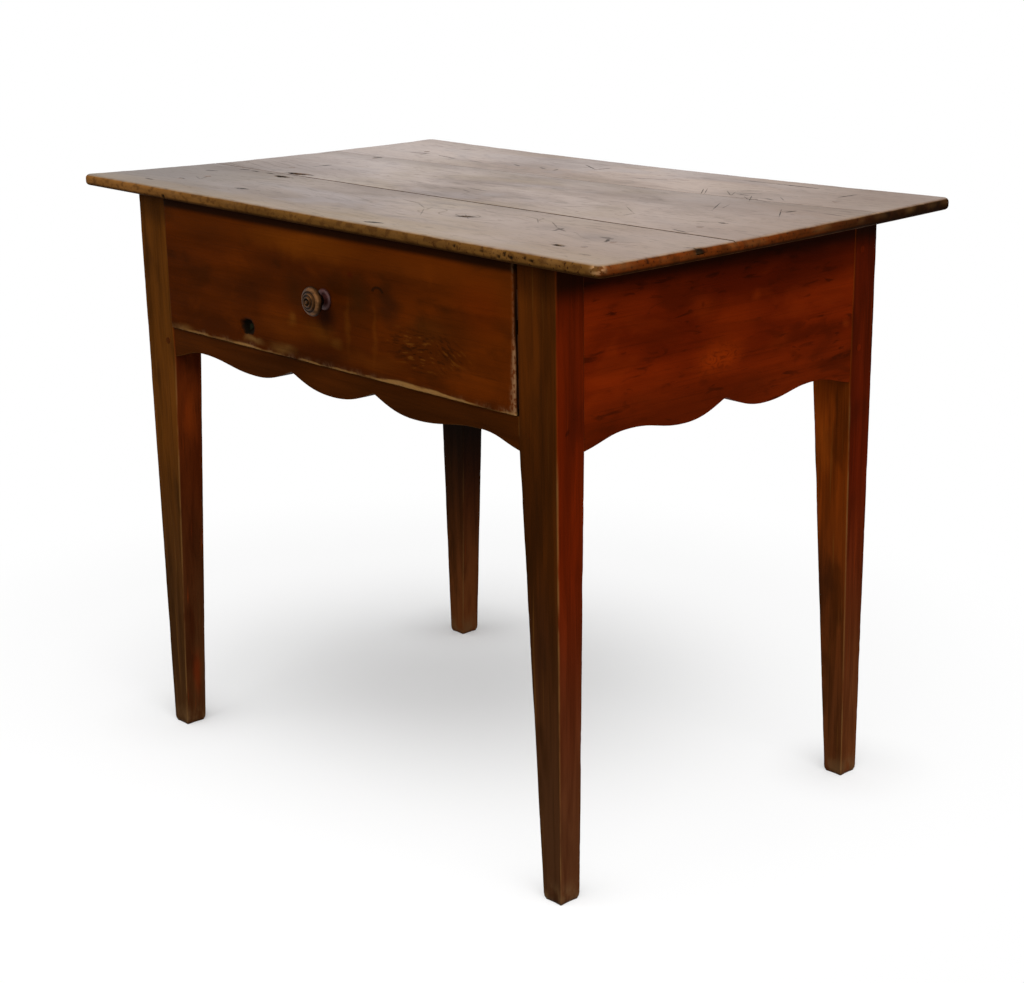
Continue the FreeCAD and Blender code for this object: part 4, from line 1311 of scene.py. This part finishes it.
def drawer_front(material):
    """The drawer's face: its lower edge and right end are broken and rubbed, and one knot has fallen out."""
    low, high = drawer_low, drawer_high
    length = high.x - low.x
    height = high.z - low.z
    columns = spread(length, (drawer_rim_round, drawer_rim_round), drawer_step)
    rows = spread(height, (drawer_rim_round, drawer_rim_round), drawer_step)
    mesh = slab(len(columns) - 1, len(rows) - 1, drawer_wall_cuts)
    wear = mesh.verts.layers.float.new("wear")
    dirt = mesh.verts.layers.float.new("dirt")
    for vert in mesh.verts:
        left = columns[round(vert.co.x)]
        bottom = rows[round(vert.co.y)]
        depth = vert.co.z
        right = length - left
        x = low.x + left
        z = low.z + bottom
        drop = quarter(min(left, right, bottom, height - bottom), drawer_rim_round)
        broken = 0.1 + max(0.0, rough(x, z, 0.5, 40)) + rough(x, z, 0.9, 110) * 0.4
        low_bite = fade(bottom, low_bite_reach) * broken
        right_reach = right_bite_reach + right_bite_widening * fade(bottom, right_bite_height)
        right_bite = fade(right, right_reach) * (0.6 + 0.6 * max(0.0, rough(x, z, 0.5, 60)))
        right_bite *= max(0.25, min(1.0, 1.5 - 1.8 * bottom / height))
        bite = low_bite_depth * max(0.0, low_bite) + right_bite_depth * right_bite
        hollow = knot_hollow(x, z)
        face_y = low.y + drop + bite + hollow + drawer_unevenness * rough(x, z * 3, 0.0, 12)
        inside = depth * (high.y - face_y)
        gap = drawer_end_gap * (0.2 + 0.8 * bottom / height + 0.25 * rough(x, z, 0.3, 25))
        hollowed = min(1.0, 2 * hollow / knot_hole_depth) * (1 - depth)
        # dirt in the knot hole; past the first millimetres of the ends, edges and back, painted shade for the
        # gap round the drawer
        vert[dirt] = max(hollowed, 1 - fade(inside, 2 * drawer_wall_wear))
        vert[wear] = min(1.0, max(0.6 * low_bite, right_bite)) * fade(inside, drawer_wall_wear)
        vert.co = (x - gap * left / length, face_y + (high.y - face_y) * depth, z)
    for face in mesh.faces:
        face.smooth = True
    return piece("worn_drawer_front", mesh, material, "drawer", ["drawer_front"])


# Knob

def turned(name, profile, centre, material):
    """A piece turned about the knob's axis from rows of radius, distance out, dirt and wear."""
    mesh = bmesh.new()
    dirt = mesh.verts.layers.float.new("dirt")
    wear = mesh.verts.layers.float.new("wear")
    row = []
    for radius, out, dirty, worn in profile:
        vert = mesh.verts.new((radius, -out, 0.0))
        vert[dirt] = dirty
        vert[wear] = worn
        row.append(vert)
    edges = [mesh.edges.new(pair) for pair in zip(row, row[1:])]
    bmesh.ops.spin(mesh, geom=row + edges, cent=(0.0, 0.0, 0.0), axis=(0.0, 1.0, 0.0), angle=2 * math.pi,
                   steps=knob_spin_steps, use_merge=True)
    bmesh.ops.remove_doubles(mesh, verts=mesh.verts[:], dist=merge_distance)
    bmesh.ops.translate(mesh, verts=mesh.verts[:], vec=centre)
    for face in mesh.faces:
        face.smooth = True
    made = piece("turned_" + name, mesh, material, "drawer", [name])
    smooth = made.modifiers.new("smooth", "SUBSURF")
    smooth.levels = knob_smooth_levels
    smooth.render_levels = knob_smooth_levels
    return made


def knob_pieces():
    """The ringed knob, and the domed rose behind it."""
    low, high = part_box("knob")
    centre = ((low.x + high.x) / 2, drawer_low.y, (low.z + high.z) / 2)
    knob = [(radius, rose_thickness + out, dirty, worn) for radius, out, dirty, worn in knob_profile]
    turned("knob", knob, centre, bronze())
    plate = [(0.0, 0.0), (rose_radius - rose_bevel, 0.0), (rose_radius, rose_bevel)]
    plate += [(rose_radius * share, out) for share, out in rose_dome]
    plate += [(0.0, rose_thickness)]
    turned("knob_rose", [(radius, out, 0, 0) for radius, out in plate], centre, rose_metal())


# Pegs of the top

def top_peg_ends(material):
    """The ends of the pegs that hold the boards down, a hair proud of the warped top."""
    low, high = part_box("top_pegs")
    length = high.z - low.z
    mesh = bmesh.new()
    for x in (low.x + peg_radius, high.x - peg_radius):
        for share in peg_place_shares:
            y = top_low.y + peg_row_middle + peg_row_half * share
            top = top_high.z + warp(x, y) + peg_proud
            made = bmesh.ops.create_cone(mesh, cap_ends=True, segments=peg_segments, radius1=peg_radius,
                                         radius2=peg_radius, depth=length)
            bmesh.ops.translate(mesh, verts=made["verts"], vec=(x, y, top - length / 2))
    rims = [edge for edge in mesh.edges if abs(edge.verts[0].co.z - edge.verts[1].co.z) < peg_radius]
    bmesh.ops.bevel(mesh, geom=rims, offset=peg_rim_round, affect="EDGES", segments=2, profile=0.5,
                    material=-1)
    return piece("top_peg_ends", mesh, material, "frame", ["top_pegs"])


# Studio

floor_size = 20.0
floor_glow = 0.14
floor_glow_around = 0.82
shadow_centre = (-0.22, 0.06, 0.0)
shadow_reach = (0.05, 0.62)
foot_shadow_reach = (0.02, 0.13)
foot_shadow_share = 0.45
floor_white = (0.93, 0.93, 0.93, 1.0)
pure_white = (1.0, 1.0, 1.0, 1.0)
floor_bounce = (0.28, 0.28, 0.28, 1.0)
white_reach = (0.60, 1.00)
ambient = 0.30
light_target = (0.0, 0.0, 0.5)
softboxes = (
    # name, place, width, height, watts
    ("overhead", (0.5, -0.6, 2.8), 4.0, 3.6, 82.0),
    ("from_front", (-0.7, -2.7, 2.5), 2.8, 2.2, 18.0),
    ("from_right", (2.4, -1.3, 1.6), 3.8, 2.6, 68.0),
)


def floor_finish():
    """White that keeps the table's soft shadow, darkest at its feet, and melts into the white behind."""
    material = bpy.data.materials.new("floor")
    material.use_nodes = True
    tree = Nodes(material.node_tree)
    tree.tree.nodes.remove(tree.tree.nodes["Principled BSDF"])
    spot = tree.node("ShaderNodeTexCoord", {}, {}, "Object")
    away = tree.node("ShaderNodeVectorMath", {"operation": "DISTANCE"}, {0: spot, 1: shadow_centre}, "Value")
    around = (floor_glow_around - floor_glow) * away.ramp(*shadow_reach)
    shown = 1.0
    for name in leg_tones:
        low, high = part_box(name)
        foot = (outer_end(low.x, high.x), outer_end(low.y, high.y), 0.0)
        near = tree.node("ShaderNodeVectorMath", {"operation": "DISTANCE"}, {0: spot, 1: foot}, "Value")
        shown = (1 - foot_shadow_share + foot_shadow_share * near.ramp(*foot_shadow_reach)) * shown
    glow = tree.seen() * shown * (floor_glow + around + (1 - floor_glow_around) * away.ramp(*white_reach))
    white = tree.node("ShaderNodeEmission", {}, {"Color": pure_white, "Strength": 1.0})
    shade = tree.node("ShaderNodeMix", {"data_type": "RGBA"},
                      {0: tree.seen(), 6: floor_bounce, 7: floor_white}, 2)
    matt = tree.node("ShaderNodeBsdfDiffuse", {}, {"Color": shade})
    surface = tree.node("ShaderNodeMixShader", {}, {0: glow, 1: matt, 2: white})
    tree.link(surface, tree.tree.nodes["Material Output"], "Surface")
    return material


def floor():
    mesh = bmesh.new()
    bmesh.ops.create_grid(mesh, x_segments=1, y_segments=1, size=floor_size)
    data = bpy.data.meshes.new("floor")
    mesh.to_mesh(data)
    mesh.free()
    data.materials.append(floor_finish())
    made = bpy.data.objects.new("floor", data)
    bpy.context.scene.collection.objects.link(made)


def world():
    """White where it is seen, and dimmer where it lights the table."""
    made = bpy.data.worlds.new("studio")
    bpy.context.scene.world = made
    made.use_nodes = True
    tree = Nodes(made.node_tree)
    background = made.node_tree.nodes["Background"]
    background.inputs["Color"].default_value = pure_white
    tree.link(ambient + (1 - ambient) * tree.seen(), background, "Strength")


def softbox(name, place, width, height, power):
    """A soft white lamp that looks at the middle of the table."""
    data = bpy.data.lights.new(name, "AREA")
    data.shape = "RECTANGLE"
    data.size = width
    data.size_y = height
    data.energy = power
    made = bpy.data.objects.new(name, data)
    made.location = place
    made.rotation_euler = (Vector(light_target) - Vector(place)).to_track_quat("-Z", "Y").to_euler()
    bpy.context.scene.collection.objects.link(made)


def lights():
    for row in softboxes:
        softbox(*row)


def camera():
    data = bpy.data.cameras.new("photograph")
    data.sensor_fit = "HORIZONTAL"
    data.sensor_width = camera_sensor_mm
    data.lens = camera_lens_mm
    data.shift_x, data.shift_y = camera_shift
    made = bpy.data.objects.new("photograph", data)
    made.location = camera_place
    made.rotation_euler = [math.radians(angle) for angle in camera_turn_deg]
    bpy.context.scene.collection.objects.link(made)
    bpy.context.scene.camera = made


# Nodes that keep their solids

def dress(names, material):
    """Gives a finish to nodes that keep their solids."""
    for name in names:
        data = nodes[name].data
        data.materials.clear()
        data.materials.append(material)


def dress_nodes():
    dress(("side_apron_pegs", "back_apron_pegs", "front_rail_pegs"),
          leg_wood("joint_peg_wood", *leg_tones["leg_front_right"]))
    dress(("drawer_runner_left", "drawer_runner_right", "drawer_guide_left", "drawer_guide_right",
           "drawer_side_left", "drawer_side_right"), inner_wood("inner_wood_deep", 1))
    dress(("drawer_back", "drawer_bottom_front", "drawer_bottom_back", "drawer_stops"),
          inner_wood("inner_wood_long", 0))
    dress(("guide_nails", "runner_nails", "drawer_bottom_nails", "knob_bolt", "knob_washer", "knob_nut"),
          iron())


def main():
    camera()
    world()
    floor()
    lights()
    top_boards()
    for name, tones in leg_tones.items():
        spots = leg_spots.get(name, ())
        leg(name, leg_wood(name + "_wood", *tones, spots, name == shade_painted_leg, name in shaded_legs))
    eased("apron_left", apron_wood("apron_wood_left", False))
    eased("apron_right", apron_wood("apron_wood_right", True))
    eased("apron_back", rail_wood("back_wood"))
    eased("front_rail", rail_wood("rail_wood"))
    drawer_front(drawer_wood())
    knob_pieces()
    top_peg_ends(peg_wood())
    dress_nodes()
    bpy.context.scene.view_settings.view_transform = "Standard"


main()
